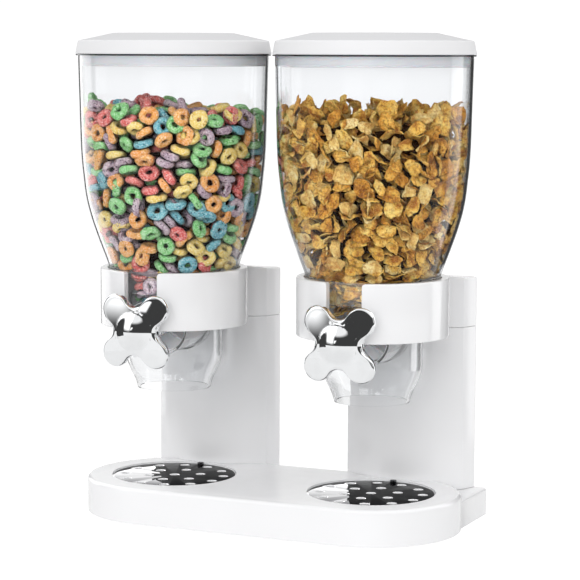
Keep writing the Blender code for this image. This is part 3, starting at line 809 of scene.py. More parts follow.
def crowned_top(s, x):
    """The head: the column's plan with a top that is higher in the middle."""
    plan = column_plan(x)
    radius = (COL_BACK[0] ** 2 + HEAD_CROWN**2) / (2 * HEAD_CROWN)

    def top(px, inset):
        return HEAD_CORNER + HEAD_CROWN - radius + math.sqrt(radius**2 - (px - x) ** 2)

    loops = [[(u, v, HEAD_LOW) for u, v in plan(0.4)], [(u, v, HEAD_LOW + 0.4) for u, v in plan(0.0)]]
    edge = 1.2
    for k in range(5):
        a = math.pi / 2 * k / 4
        inset = edge * (1 - math.cos(a))
        drop = edge * (1 - math.sin(a))
        loops.append([(u, v, top(u, inset) - drop) for u, v in plan(inset)])
    n = len(loops[0])
    verts = [p for loop in loops for p in loop]
    faces = []
    for i in range(len(loops) - 1):
        for k in range(n):
            j = (k + 1) % n
            faces.append((i * n + k, i * n + j, (i + 1) * n + j, (i + 1) * n + k))
    faces.append(tuple(range(n)))
    # the crowned cap: strips across the depth, from the front outline to the back edge
    last = (len(loops) - 1) * n
    rim = loops[-1]
    order = sorted(range(n), key=lambda k: (round(rim[k][0], 4), rim[k][1]))
    back_y = max(p[1] for p in rim)
    front_ids = [k for k in range(n) if rim[k][1] < back_y - 1.9]
    front_ids.sort(key=lambda k: rim[k][0])
    extra = []
    grid_cols = []
    for k in front_ids:
        grid_cols.append(last + k)
    # one n-gon is enough here, because the crown is a single curve: triangulate it across X
    bm = bmesh.new()
    bverts = [bm.verts.new(Vector(p) * MM) for p in verts]
    for f in faces:
        bm.faces.new([bverts[i] for i in f])
    cap_ids = list(range(last, last + n))
    pts = [(rim[k][0], rim[k][1]) for k in range(n)]
    left = min(range(n), key=lambda k: (pts[k][0], pts[k][1]))
    ordered = [(left + k) % n for k in range(n)]
    # split the ring into the front run and the back run between the leftmost and rightmost points
    right = max(range(n), key=lambda k: (pts[k][0], -pts[k][1]))
    run_a = []
    k = left
    while True:
        run_a.append(k)
        if k == right:
            break
        k = (k + 1) % n
    run_b = []
    k = left
    while True:
        run_b.append(k)
        if k == right:
            break
        k = (k - 1) % n
    a, b = run_a, run_b
    i = j = 0
    while i < len(a) - 1 or j < len(b) - 1:
        step_a = i < len(a) - 1 and (
            j >= len(b) - 1 or pts[a[i + 1]][0] <= pts[b[j + 1]][0]
        )
        tri = (
            (a[i], a[i + 1], b[j]) if step_a else (a[i], b[j + 1], b[j])
        )
        if step_a:
            i += 1
        else:
            j += 1
        if len(set(tri)) == 3:
            bm.faces.new([bverts[last + q] for q in tri])
    bmesh.ops.recalc_face_normals(bm, faces=bm.faces)
    mesh = bpy.data.meshes.new("collar_" + s)
    bm.to_mesh(mesh)
    bm.free()
    obj = bpy.data.objects.new("collar_ring_" + s, mesh)
    SCENE.collection.objects.link(obj)
    return obj


def rounded_slot(width, z_top, radius):
    """Profile across X and Z of the slot's cutter, flared at the collar's top edge."""
    h = width / 2
    pts = [(-h, 140.0), (-h, z_top - radius)]
    for k in range(1, 9):
        a = math.pi / 2 * k / 8
        pts.append((-h - radius * (1 - math.cos(a)), z_top - radius + radius * math.sin(a)))
    pts.append((-h - radius, z_top + 20))
    return pts + [(-u, v) for u, v in reversed(pts)]


def make_collar(s):
    x = AX[s]
    head = crowned_top(s, x)
    inner = prism("inner", column_plan(x, -2.6, 1.5, 1.0), 150.0, HEAD_CORNER - 4.0)
    boolean(inner, turned("keep", [(RING_R, 220), (RING_R, 140), (RING_IN, 140), (RING_IN, 220)], (x, AY, 0), 128))
    boolean(head, inner)
    boolean(head, block("back", (x - 53, AY + 86.5, 150), (x + 53, AY + 120, HEAD_CORNER - 4.0)))
    profile = fillet(
        [
            (RING_R, RING_TOP, 1.3),
            (RING_R, HEAD_LOW, 0.7),
            (RING_IN, HEAD_LOW, 0.5),
            (RING_IN, RING_TOP, 0.9),
        ],
        True,
        4,
    )
    ring = turned("ring", profile, (x, AY, 0), 192)
    boolean(head, ring, "UNION")
    ledge = turned("ledge", [(56.0, 195.7), (56.0, 189.0), (50.0, 192.0), (50.0, 195.7)], (x, AY, 0), 96)
    boolean(ledge, block("front", (x - 60, AY - 80, 150), (x + 60, AY - 30, 220)))
    boolean(head, ledge, "UNION")
    across = rounded_slot(SLOT_W, RING_TOP, 2.6)
    loops = [[(x + u, y, v) for u, v in across] for y in (AY - 80.0, AY - 30.0)]
    slot_cut = loft("slot", loops, smooth=None)
    boolean(head, slot_cut)
    reshade(head)
    give(head, WHITE)
    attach(head, "stand")
    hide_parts("collar_" + s)


for side in SIDES:
    make_column(side)
    make_collar(side)

# --------------------------------------------------------------------------
# canisters and what turns in them
# --------------------------------------------------------------------------
OUTER = catmull(
    [(78.05, 372.0), (77.3, 341.2), (76.2, 300.9), (74.2, 277.3), (72.0, 260.6), (68.1, 244.8), (62.5, 228.1), (56.6, 212.4), (54.1, 205.5)],
    8,
)
CAN_R = 78.05
WALL_T = 2.3


def inner_wall():
    """Inner profile points (r, z), bottom to top, a wall's thickness inside the outer curve."""
    pts = []
    for i, p in enumerate(OUTER):
        a = np.array(OUTER[max(i - 1, 0)])
        b = np.array(OUTER[min(i + 1, len(OUTER) - 1)])
        t = (b - a) / np.linalg.norm(b - a)
        pts.append((p[0] + t[1] * WALL_T, p[1] - t[0] * WALL_T))
    return pts[::-1]


INNER = inner_wall()


def radius_inside(z):
    """Free radius inside the canister at a height, for its filling."""
    zs = [167.0, NECK_Z, 184.6, 194.5, 198.5, 201.8] + [p[1] for p in INNER if p[1] > 206.5] + [RIM_Z]
    rs = [34.6, 35.1, 35.3, 35.8, 38.6, 50.0] + [p[0] for p in INNER if p[1] > 206.5] + [75.7]
    return float(np.interp(z, zs, rs))


def make_canister(s):
    at = (AX[s], AY, 0)
    outer = (
        fillet([(75.75, RIM_Z), (CAN_R - 0.25, RIM_Z, 0.8), (77.9, 378.0), (78.05, 374.0), OUTER[0]], False, 4)[1:-1]
        + OUTER
        + fillet([OUTER[-1], (54.0, 203.5), (53.9, 198.6), (51.6, 196.0, 2.0), (38.1, 196.0, 0.2), (37.9, 184.6), (37.8, NECK_Z)], False, 5)[1:]
    )
    inner = fillet(
        [(35.6, NECK_Z), (36.4, 196.8, 2.0), (50.6, 201.4, 3.0), INNER[0]], False, 5
    )[:-1] + INNER + [(75.75, 373.0), (75.75, RIM_Z)]
    can = turned("canister_clear_" + s, outer + inner, at, 160)
    give(can, CLEAR, THIN)
    for face in can.data.polygons:
        if face.center.z < 203.6 * MM:
            face.material_index = 1
    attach(can, s + "_canister")
    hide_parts("canister_" + s)

    rim = turned("canister_rim_" + s, fillet([(79.95, 378.05, 0.3), (79.95, 376.85, 0.3), (78.12, 376.85), (78.12, 378.05)], True, 3), at, 160)
    # the rim takes the nearly black clear: painted dark line of the edge-on rim
    give(rim, CLEAR_RIM_PAINTED_DARK)
    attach(rim, s + "_canister")

    curve = catmull([(40.3, 133.5), (39.9, 129.6), (38.8, 124.9), (36.2, 118.3), (33.2, 112.4), (31.4, 107.8), (30.4, CHUTE_LOW[2])], 6)
    outer = [(40.3, CHUTE_HIGH[2])] + curve
    inner = [(r - 2.0, z + (0.0 if i < len(curve) - 1 else 0.0)) for i, (r, z) in enumerate(curve)][::-1] + [(38.3, CHUTE_HIGH[2])]
    chute = turned("chute_clear_" + s, outer + inner, at, 128)
    hole = turned("hole", [(0, 60), (8.3, 60), (8.3, 20), (0, 20)], (AX[s], AY, SHAFT_Z), 48, False, axis="Y")
    boolean(chute, hole)
    reshade(chute)
    give(chute, CLEAR_LOW)
    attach(chute, s + "_canister")
    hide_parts("outlet_chute_" + s)

    axis = (AX[s], AY, SHAFT_Z)
    hopper = turned("metering_drum_" + s, fillet([(0, 182.7), (37.6, 182.7, 0.8), (37.4, 166.0, 0.8), (0, 166.0)], False, 3), at, 96, False)
    drum = turned("drum", fillet([(0, 26.0), (24.6, 26.0, 1.2), (24.6, -24.0, 2.4), (0, -24.0)], False, 4), axis, 96, False, axis="Y")
    boolean(hopper, drum, "UNION")
    boolean(hopper, turned("bore", fillet([(0, 24.0), (22.6, 24.0, 0.6), (22.6, -22.0, 1.4), (0, -22.0)], False, 3), axis, 96, False, axis="Y"))
    boolean(hopper, turned("cup", fillet([(0, 184.0), (35.6, 184.0), (35.6, 168.0, 1.0), (0, 168.0)], False, 3), at, 96, False))
    boolean(hopper, block("outlet", (-13.5, -21.0, -40.0), (13.5, 12.0, 0.0), axis))
    boolean(hopper, turned("shafthole", [(0, 40), (4.3, 40), (4.3, -23.0), (0, -23.0)], axis, 32, False, axis="Y"))
    reshade(hopper)
    give(hopper, CLEAR_LOW)
    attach(hopper, s + "_canister")
    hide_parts("metering_housing_" + s)

    bush = turned("shaft_sleeve_" + s, fillet([(8.0, 62.2, 0.8), (8.0, 26.3, 0.2), (4.3, 26.3, 0.2), (4.3, 62.2, 0.4)], True, 3), axis, 48, axis="Y")
    give(bush, CLEAR_LOW)
    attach(bush, s + "_canister")
    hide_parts("shaft_bush_" + s)


def make_lid(s):
    at = (AX[s], AY, 0)
    shape = fillet(
        [
            (0, LID_TOP),
            (49.5, LID_TOP, 3.0),
            (69.0, 390.8, 9.0),
            (78.1, 388.9, 1.3),
            (LID_R, LID_BOTTOM, 0.5),
            (78.4, LID_BOTTOM, 0.3),
            (78.4, 382.3, 0.3),
            (72.1, 382.3, 0.4),
            (72.1, 388.0, 1.5),
            (49.0, 392.4, 4.0),
            (0, 392.4),
        ],
        False,
        6,
    )
    lid = turned("lid_cap_" + s, shape, at, 160, False)
    give(lid, WHITE_LID, WHITE_LID_TOP_PAINTED_SHADE)
    # the crown's upward faces take the darker copy: painted shade on the lid's top
    for face in lid.data.polygons:
        if face.center.z > 389.3 * MM and face.normal.z > 0.0:
            face.material_index = 1
    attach(lid, s + "_lid")
    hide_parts("lid_" + s)
    ribs = [(75.3, 382.0), (75.3, 371.2), (75.0, 370.7), (75.0, 370.2), (75.35, 369.7)]
    ribs += [(75.35, 369.0), (74.9, 368.5), (72.9, 368.5), (72.4, 369.2), (72.4, 382.0)]
    seal = turned("lid_gasket_" + s, ribs, at, 128)
    give(seal, SILICONE)
    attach(seal, s + "_lid")
    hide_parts("lid_seal_" + s)


# the knob's outline: four round lobes joined by round hollows
LOBE_AT, LOBE_R, WAIST = 25.4, 11.5, 19.5


def knob_radius(phi):
    """Distance from the axis to the outline, at an angle."""
    t = (phi + math.pi / 4) % (math.pi / 2) - math.pi / 4  # fold onto a hollow's axis
    t = abs(t)
    ax = LOBE_AT * math.cos(math.pi / 4)
    far = (ax * ax * 2 - (LOBE_R - WAIST) ** 2) / (2 * (ax + LOBE_R - WAIST))
    hollow = far - WAIST
    # ray against the hollow's circle (near side) and against the lobe's circle (far side)
    best = None
    disc = hollow**2 - (far * math.sin(t)) ** 2
    touch = math.atan2(ax, far - ax)
    joint = (far - hollow * math.cos(touch), hollow * math.sin(touch))
    if t <= math.atan2(joint[1], joint[0]) and disc >= 0:
        best = far * math.cos(t) - math.sqrt(disc)
    if best is None:
        d = abs(math.pi / 4 - t)
        best = LOBE_AT * math.cos(d) + math.sqrt(max(LOBE_R**2 - (LOBE_AT * math.sin(d)) ** 2, 0.0))
    return best


def make_knob(s):
    axis = np.array((AX[s], AY, SHAFT_Z))
    mid = 67.5  # distance in front of the canister's axis
    n = 192
    edge_front, edge_back, crown = 3.9, -4.0, 3.6

    def front(r):
        """Height of the front above the mid plane: crowned, with a round boss in the middle."""
        base = edge_front + 1.4 - crown * (r / 36.0) ** 2
        dome = 0.0
        if r < 15.5:
            k = r / 15.5
            dome = 4.3 * (1 - k * k) ** 1.35
        return base + dome

    def back(r):
        return edge_back - 0.4 + 1.6 * (r / 36.0) ** 2

    rings = []
    shares = [i / 26 for i in range(1, 24)]
    shares = [1 - (1 - t) ** 1.15 for t in shares]
    phis = [2 * math.pi * k / n for k in range(n)]
    outline = [knob_radius(p) for p in phis]
    # rows of (share of the outline, inset in mm, height function)
    rows = []
    for t in shares:
        rows.append([((R - 3.2) * t * math.cos(p), (R - 3.2) * t * math.sin(p), front((R - 3.2) * t)) for p, R in zip(phis, outline)])
    for k in range(0, 9):  # the front edge, rounded by 3.2 mm
        a = math.pi / 2 * k / 8
        inset = 3.2 * (1 - math.sin(a))
        drop = 3.0 * (1 - math.cos(a))
        rows.append([((R - inset) * math.cos(p), (R - inset) * math.sin(p), front(R - 3.2) - drop) for p, R in zip(phis, outline)])
    for k in range(0, 6):  # the back edge, rounded by 1.6 mm
        a = math.pi / 2 * k / 5
        inset = 1.6 * (1 - math.cos(a))
        lift = 1.6 * (1 - math.sin(a))
        rows.append([((R - inset) * math.cos(p), (R - inset) * math.sin(p), back(R) + lift) for p, R in zip(phis, outline)])
    for t in (0.9, 0.75, 0.6):
        rows.append([((R - 1.6) * t * math.cos(p), (R - 1.6) * t * math.sin(p), back(R * t)) for p, R in zip(phis, outline)])
    # the boss behind, down to the shaft's bore
    for r, h in ((10.4, None), (9.2, -4.6), (8.7, -4.75), (8.4, -4.9), (4.6, -4.9), (4.3, -4.6), (4.3, 5.7)):
        rows.append([(r * math.cos(p), r * math.sin(p), back(r) if h is None else h) for p in phis])
    verts = [(0.0, 0.0, front(0.0))]
    for row in rows:
        verts += row
    faces = []
    for k in range(n):
        faces.append((0, 1 + k, 1 + (k + 1) % n))
    for i in range(len(rows) - 1):
        for k in range(n):
            j = (k + 1) % n
            faces.append((1 + i * n + k, 1 + i * n + j, 1 + (i + 1) * n + j, 1 + (i + 1) * n + k))
    verts.append((0.0, 0.0, 5.7))
    last = len(verts) - 1
    for k in range(n):
        faces.append((1 + (len(rows) - 1) * n + (k + 1) % n, 1 + (len(rows) - 1) * n + k, last))
    v = np.array(verts)
    world = np.stack([v[:, 0], -(mid + v[:, 2]), v[:, 1]], 1) + axis
    knob = to_object("knob_chrome_" + s, world, faces, smooth=None)
    fresh_normals(knob)
    knob.data.shade_smooth()
    knob.data.set_sharp_from_angle(angle=math.radians(40))
    give(knob, CHROME)
    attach(knob, s + "_knob")
    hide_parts("knob_" + s)

    hub = turned("paddle_wheel_fine_" + s, fillet([(6.5, 23.6, 0.5), (6.5, -21.6, 0.5), (4.3, -21.6), (4.3, 23.6)], True, 3), tuple(axis), 48, axis="Y")
    blades = None
    for k in range(6):
        a = math.radians(30 + 60 * k)
        plan = []
        for (u, w) in ((5.6, 1.3), (12.0, 0.9), (21.2, 0.7), (22.0, 0.35), (22.0, -0.35), (21.2, -0.7), (12.0, -0.9), (5.6, -1.3)):
            plan.append((u * math.cos(a) - w * math.sin(a), u * math.sin(a) + w * math.cos(a)))
        loops = [[(px, -d, pz) for px, pz in plan] for d in (23.6, -21.6)]
        boolean(hub, loft("blade", loops, tuple(axis), smooth=None), "UNION")
    reshade(hub)
    give(hub, SILICONE)
    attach(hub, s + "_knob")
    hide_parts("paddle_wheel_" + s)


TRAYS = []
TRAY_EDGE = {"left": -17.0, "right": -17.0}  # where the glow ends, sideways from the middle of the disc


def make_tray(s):
    at = (AX[s], AY, 0)
    low = TRAY_TOP - 1.4
    plate = turned(
        "tray_mirror_" + s,
        fillet(
            [(0, TRAY_TOP), (TRAY_R, TRAY_TOP, 0.7), (TRAY_R, low, 0.3), (47.6, low), (47.6, low - 3.5, 0.4), (46.4, low - 3.5, 0.4), (46.4, low), (0, low)],
            False,
            4,
        ),
        at,
        128,
        False,
    )
    for count, ring in ((1, 0.0), (6, 21.6), (12, 41.5)):
        for k in range(count):
            a = 2 * math.pi * (k + 0.5) / count
            hole = turned("hole", [(0, 40), (4.1, 40), (4.1, TRAY_TOP), (3.45, TRAY_TOP - 0.35), (3.3, TRAY_TOP - 0.6), (3.3, 10), (0, 10)], (at[0] + ring * math.cos(a), AY + ring * math.sin(a), 0), 24, False)
            boolean(plate, hole)
    tab = block("tab", (-2.2, 46.5, TRAY_TOP - 0.7), (2.2, 50.6, TRAY_TOP + 2.0), at)
    bm = bmesh.new()
    bm.from_mesh(tab.data)
    bmesh.ops.bevel(bm, geom=list(bm.edges), offset=0.5 * MM, segments=3, affect="EDGES", profile=0.5)
    bm.to_mesh(tab.data)
    bm.free()
    boolean(plate, tab, "UNION")
    reshade(plate, 15)
    give(plate, MIRROR, WHITE, DARK_TAB)
    for face in plate.data.polygons:
        centre = face.center / MM
        if centre.z > TRAY_TOP + 0.02:
            face.material_index = 2
        elif not (abs(face.normal.z) > 0.999 and centre.z > TRAY_TOP - 0.02):
            face.material_index = 1
    TRAYS.append(plate)
    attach(plate, s + "_tray")
    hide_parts("drip_tray_" + s)


for side in SIDES:
    make_canister(side)
    make_lid(side)
    make_knob(side)
    make_tray(side)

# a light behind each tray, which only its mirror sees: it shows over the left third of the disc
for side, tray in zip(SIDES, TRAYS):
    eye = SCENE.camera.location.copy()
    eye.z = 2 * TRAY_TOP * MM - eye.z
    right = Vector((math.cos(CAMERA_AZ), math.sin(CAMERA_AZ), 0.0))
    edge = Vector((AX[side] * MM, AY * MM, TRAY_TOP * MM)) + right * (TRAY_EDGE[side] * MM)
    along = (edge - eye).normalized()
    wide, high = 0.70, 1.3
    centre = edge + along * 2.6 - right * (wide / 2) + Vector((0, 0, 0.1))
    glow = area("tray_glow_" + side, centre, edge, wide, 9.5 * math.pi * wide * high, size_y=high)
    only = bpy.data.collections.new("lit_by_tray_glow_" + side)
    only.objects.link(tray)
    glow.light_linking.receiver_collection = only

# --------------------------------------------------------------------------
# cereal: it fills the canisters as it does in use, poured and settled
# --------------------------------------------------------------------------
CEREAL_TOP = 340.0
# the room the paddle wheel sweeps, seen from the canister's axis: radius, and its two ends along the shaft
WHEEL = (
    mmbox("paddle_wheel_left")[1][2] - SHAFT_Z + 0.5,
    mmbox("paddle_wheel_left")[0][1] - AY - 0.6,
    mmbox("paddle_wheel_left")[1][1] - AY + 0.6,
)


def ring_mesh(profile, n):
    verts, faces = [], []
    for r, z in profile:
        for k in range(n):
            a = 2 * math.pi * k / n
            verts.append((r * math.cos(a), r * math.sin(a), z))
    for i in range(len(profile) - 1):
        for k in range(n):
            j = (k + 1) % n
            faces.append((i * n + k, i * n + j, (i + 1) * n + j, (i + 1) * n + k))
    return verts, faces


def plain_mesh(name, verts, faces):
    mesh = bpy.data.meshes.new(name)
    mesh.from_pydata([tuple(map(float, v)) for v in verts], [], faces)
    mesh.update()
    return mesh


def settle(hulls, count, spacing, rise, seed, frames):
    """Drops count pieces, whose convex shapes are in hulls, into the canister, and returns each one's hull and matrix.

    The fall is worked out at one unit to 10 mm, because the solver's margins suit pieces of that size."""
    rng = np.random.default_rng(seed)
    levels = [168.6, 176.0, 181.6, 186.0, 190.0, 194.5, 198.5, 202.5, 206.5] + list(np.arange(210.0, 372.0, 6.0)) + [372.0]
    wall = [(0.01, 16.86)] + [((radius_inside(z) - 0.35) / 10, z / 10) for z in levels] + [(7.52, 90.0)]
    verts, faces = ring_mesh(wall, 48)
    vessel = bpy.data.objects.new("vessel", plain_mesh("vessel", verts, [f[::-1] for f in faces]))
    SCENE.collection.objects.link(vessel)
    verts, faces = ring_mesh([(WHEEL[0] / 10, WHEEL[1] / 10), (WHEEL[0] / 10, WHEEL[2] / 10)], 24)
    faces += [tuple(range(24))[::-1], tuple(range(24, 48))]
    wheel = bpy.data.objects.new("wheel_room", plain_mesh("wheel_room", [(x, z, SHAFT_Z / 10 - y) for x, y, z in verts], faces))
    SCENE.collection.objects.link(wheel)
    pieces, kinds, z = [], [], 19.2
    while len(pieces) < count:
        reach = (radius_inside(min(z * 10, 372.0)) - 9.0) / 10
        shift = rng.random(2) * spacing
        cells = int(reach / spacing) + 2
        spots = []
        for i in range(-cells, cells + 1):
            for j in range(-cells, cells + 1):
                u = (i + 0.5 * (j % 2)) * spacing + shift[0] * 0.5
                v = j * spacing * 0.87 + shift[1] * 0.5
                if u * u + v * v < reach * reach:
                    spots.append((u, v))
        for u, v in (spots or [(0.0, 0.0)])[: count - len(pieces)]:
            kind = int(rng.integers(len(hulls)))
            piece = bpy.data.objects.new("piece%04d" % len(pieces), hulls[kind])
            piece.location = (u + rng.normal() * 0.02, v + rng.normal() * 0.02, z + rng.normal() * 0.02)
            turn = rng.normal(size=4)
            piece.rotation_mode = "QUATERNION"
            piece.rotation_quaternion = turn / np.linalg.norm(turn)
            SCENE.collection.objects.link(piece)
            pieces.append(piece)
            kinds.append(kind)
        z += rise
    bpy.ops.rigidbody.world_add()
    rigid = SCENE.rigidbody_world
    rigid.substeps_per_frame, rigid.solver_iterations = 8, 8
    gravity = SCENE.gravity.copy()
    SCENE.gravity = (0, 0, -60)
    rigid.point_cache.frame_start, rigid.point_cache.frame_end = 1, frames
    bpy.ops.object.select_all(action="DESELECT")
    for piece in pieces:
        piece.select_set(True)
    bpy.context.view_layer.objects.active = pieces[0]
    bpy.ops.rigidbody.objects_add(type="ACTIVE")
    for piece in pieces:
        body = piece.rigid_body
        body.collision_shape, body.friction, body.restitution = "CONVEX_HULL", 0.5, 0.0
        body.use_margin, body.collision_margin = True, 0.02
        body.linear_damping, body.angular_damping = 0.2, 0.3
    bpy.ops.object.select_all(action="DESELECT")
    vessel.select_set(True)
    bpy.context.view_layer.objects.active = vessel
    bpy.ops.rigidbody.objects_add(type="PASSIVE")
    body = vessel.rigid_body
    body.collision_shape, body.friction = "MESH", 0.3
    body.use_margin, body.collision_margin = True, 0.02
    bpy.ops.object.select_all(action="DESELECT")
    wheel.select_set(True)
    bpy.context.view_layer.objects.active = wheel
    bpy.ops.rigidbody.objects_add(type="PASSIVE")
    wheel.rigid_body.collision_shape = "CONVEX_HULL"
    wheel.rigid_body.use_margin, wheel.rigid_body.collision_margin = True, 0.02
    for number in range(1, frames + 1):
        SCENE.frame_set(number)
    graph = bpy.context.evaluated_depsgraph_get()
    rest = [np.array(p.evaluated_get(graph).matrix_world) for p in pieces]
    bpy.ops.rigidbody.world_remove()
    for obj in pieces + [vessel, wheel]:
        bpy.data.objects.remove(obj, do_unlink=True)
    for mesh in list(hulls):
        bpy.data.meshes.remove(mesh)
    SCENE.gravity = gravity
    SCENE.frame_set(1)
    return list(zip(kinds, rest))


def in_view(matrix):
    """True for a piece near the wall or near the top: the others are never seen. The heap is level at the top."""
    x, y, z = matrix[:3, 3] * 10
    if z > CEREAL_TOP or z < 168.6:
        return False
    out = math.hypot(x, y)
    free = radius_inside(z)
    return out < free and (free - out < 27.0 or z > CEREAL_TOP - 30.0)


def clear_of_wheel(piece, shapes):
    """True for a piece that leaves the paddle wheel its room."""
    kind, matrix = piece
    at = (shapes[kind][0] @ matrix[:3, :3].T + matrix[:3, 3]) * 10
    inside = np.hypot(at[:, 0], at[:, 2] - SHAFT_Z) < WHEEL[0] - 0.2
    return not np.any(inside & (at[:, 1] > WHEEL[1]) & (at[:, 1] < WHEEL[2]))


def press(placed, shapes, seed, share, tilt, skin):
    """Pieces next to the wall lie against it, as they do when the box is shaken down: share of them face it."""
    rng = np.random.default_rng(seed)
    out = []
    for kind, matrix in placed:
        matrix = matrix.copy()
        x, y, z = matrix[:3, 3] * 10
        reach, free = math.hypot(x, y), radius_inside(z)
        if z < 208.0 or reach < 1.0:
            out.append((kind, matrix))
            continue
        grow = 1 + 0.05 * (reach / free) ** 2
        x, y, reach = x * grow, y * grow, reach * grow
        if free - reach < 12.0 and rng.random() < share:
            radial = np.array([x / reach, y / reach, 0.0])
            normal = radial + rng.normal(size=3) * tilt
            normal /= np.linalg.norm(normal)
            first = np.cross(normal, rng.normal(size=3))
            first /= np.linalg.norm(first)
            matrix[:3, :3] = np.stack([first, np.cross(normal, first), normal], 1)
            new = free - skin - 4.0 * rng.random()
            x, y = x * new / reach, y * new / reach
        matrix[:3, 3] = np.array([x, y, z]) / 10
        out.append((kind, matrix))
    return out


def fill(name, shapes, placed, kinds, draw, s):
    """The settled pieces as two meshes: what stands in the neck, and what stands above it."""
    edges = np.cumsum([k[1] for k in kinds])
    placed = [p for p in placed if clear_of_wheel(p, shapes)]
    low = [p[1][2, 3] * 10 < 199.0 for p in placed]
    made = []
    for part, want in (("", False), ("_in_neck", True)):
        groups = []
        for i, k in enumerate(kinds):
            mine = [p for p, d, at in zip(placed, draw, low) if at == want and np.searchsorted(edges, d * edges[-1]) == i]
            if mine:
                groups.append((k[2], mine))
        made.append(gather(name + part, shapes, groups, s, s + "_canister"))
    at, towards = Vector((AX[s] + 14.0, AY - 112.0, 207.0)) * MM, Vector((AX[s] - 22.0, AY - 27.0, 184.0)) * MM
    glow = area("neck_glow_" + s, at, towards, 0.04, NECK_GLOW)
    glow.visible_glossy = False
    only = bpy.data.collections.new("lit_by_" + glow.name)
    only.objects.link(made[1])
    glow.light_linking.receiver_collection = only


def loop_shape(rng, n=22, m=11):
    """One cereal loop, in units of 10 mm: an uneven ring with a ragged round hole."""
    big = 0.76 + 0.10 * rng.random()
    tube = 0.285 + 0.03 * rng.random()
    major = big - tube
    waves = [(k, rng.normal() * 0.03 / k**0.4, rng.random() * 6.28) for k in (2, 3, 4, 5)]
    lumps = [(k, rng.normal() * 0.05, rng.random() * 6.28) for k in (2, 3, 5, 7)]
    squash = 1.0 - 0.10 * rng.random()
    grains = rng.normal(size=(n, m)) * 0.010
    verts, faces = [], []
    for i in range(n):
        a = 2 * math.pi * i / n
        centre = major * (1 + sum(w * math.cos(k * a + p) for k, w, p in waves))
        r = tube * (1 + sum(w * math.cos(k * a + p) for k, w, p in lumps))
        for j in range(m):
            b = 2 * math.pi * j / m
            rr = r + grains[i, j]
            # a slightly flattened section
            u = centre + rr * math.cos(b)
            w = rr * math.sin(b) * 1.0
            verts.append((u * math.cos(a), u * math.sin(a) * squash, w))
            faces.append((i * m + j, ((i + 1) % n) * m + j, ((i + 1) % n) * m + (j + 1) % m, i * m + (j + 1) % m))
    return np.array(verts), faces, big, tube


def flake_shape(rng, n=22, rings=6):
    """One corn flake, in units of 10 mm: a thin, curled, blistered chip with a ragged edge."""
    a = 0.66 + 0.38 * rng.random()
    b = a * (0.62 + 0.30 * rng.random())
    waves = [(k, rng.normal() * 0.12 / k**0.5, rng.random() * 6.28) for k in (2, 3, 4, 5, 7)]
    jag = rng.normal(size=n) * 0.05
    curl_x, curl_y = rng.normal() * 0.22, 0.40 + rng.normal() * 0.18
    twist = rng.normal() * 0.16
    ripples = [(rng.normal(size=2) * 4.5, rng.random() * 6.28, 0.024 + 0.018 * rng.random()) for _ in range(5)]
    ripples += [(rng.normal(size=2) * 9.0, rng.random() * 6.28, 0.012 + 0.011 * rng.random()) for _ in range(5)]
    thick = 0.035 + 0.012 * rng.random()

    def point(t, i, side):
        ang = 2 * math.pi * i / n
        r = t * (1 + t * t * (sum(w * math.cos(k * ang + p) for k, w, p in waves) + jag[i]))
        x, y = a * r * math.cos(ang), b * r * math.sin(ang)
        z = curl_x * x * x / a + curl_y * y * y / b + twist * x * y
        z += sum(h * math.sin(v[0] * x + v[1] * y + p) for v, p, h in ripples)
        # the curl draws the edge in
        x *= 1 - 0.10 * abs(curl_x) * (x / a) ** 2
        y *= 1 - 0.35 * abs(curl_y) * (y / b) ** 2
        return (x, y, z + side * thick * (1 - 0.55 * t**6))

    verts, faces = [], []
    for side in (1, -1):
        base = len(verts)
        verts.append(point(0.0, 0, side))
        for k in range(1, rings + 1):
            t = (k / rings) ** 0.85
            for i in range(n):
                verts.append(point(t, i, side))
        for i in range(n):
            j = (i + 1) % n
            tri = (base, base + 1 + i, base + 1 + j)
            faces.append(tri if side > 0 else tri[::-1])
            for k in range(rings - 1):
                p, q = base + 1 + k * n, base + 1 + (k + 1) * n
                quad = (p + i, q + i, q + j, p + j)
                faces.append(quad if side > 0 else quad[::-1])
    top = 1 + (rings - 1) * n
    low = top + 1 + rings * n
    for i in range(n):
        j = (i + 1) % n
        faces.append((top + i, low + i, low + j, top + j))
    verts = np.array(verts)
    verts[:, 2] -= (verts[:, 2].max() + verts[:, 2].min()) / 2
    half = (verts[:, 2].max() - verts[:, 2].min()) / 2
    return verts, faces, a, b, half


def gather(name, shapes, groups, s, body):
    """One mesh of many settled pieces; groups holds each material with the pieces it covers."""
    verts, faces, kinds, base = [], [], [], 0
    for index, (_, placed) in enumerate(groups):
        for kind, matrix in placed:
            shape, quads = shapes[kind][:2]
            world = shape @ matrix[:3, :3].T + matrix[:3, 3]
            verts.append(world * 10 + np.array([AX[s], AY, 0.0]))
            faces += [tuple(i + base for i in q) for q in quads]
            kinds += [index] * len(quads)
            base += len(shape)
    verts = np.concatenate(verts)
    # nothing pokes into the wall
    for row in verts:
        x, y = row[0] - AX[s], row[1] - AY
        out = math.hypot(x, y)
        free = radius_inside(row[2]) - 0.25
        if out > free:
            row[0], row[1] = AX[s] + x * free / out, AY + y * free / out
    obj = to_object(name, verts, faces, smooth=None)
    obj.data.shade_smooth()
    give(obj, *[m for m, _ in groups])
    obj.data.polygons.foreach_set("material_index", kinds)
    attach(obj, body)
    return obj


def painted_crevice_shade(n, colour, shade, clear=0.62):
    """Painted shade: colour falls to a dark shade where neighbouring pieces close in, read from local ambient
    occlusion.
    """
    near = n.add("ShaderNodeAmbientOcclusion", samples=6, only_local=True)
    near.inputs["Distance"].default_value = 0.011
    return n.mix(n.span(near.outputs["AO"], 0.0, 1.0, 0.10, clear), shade, colour)


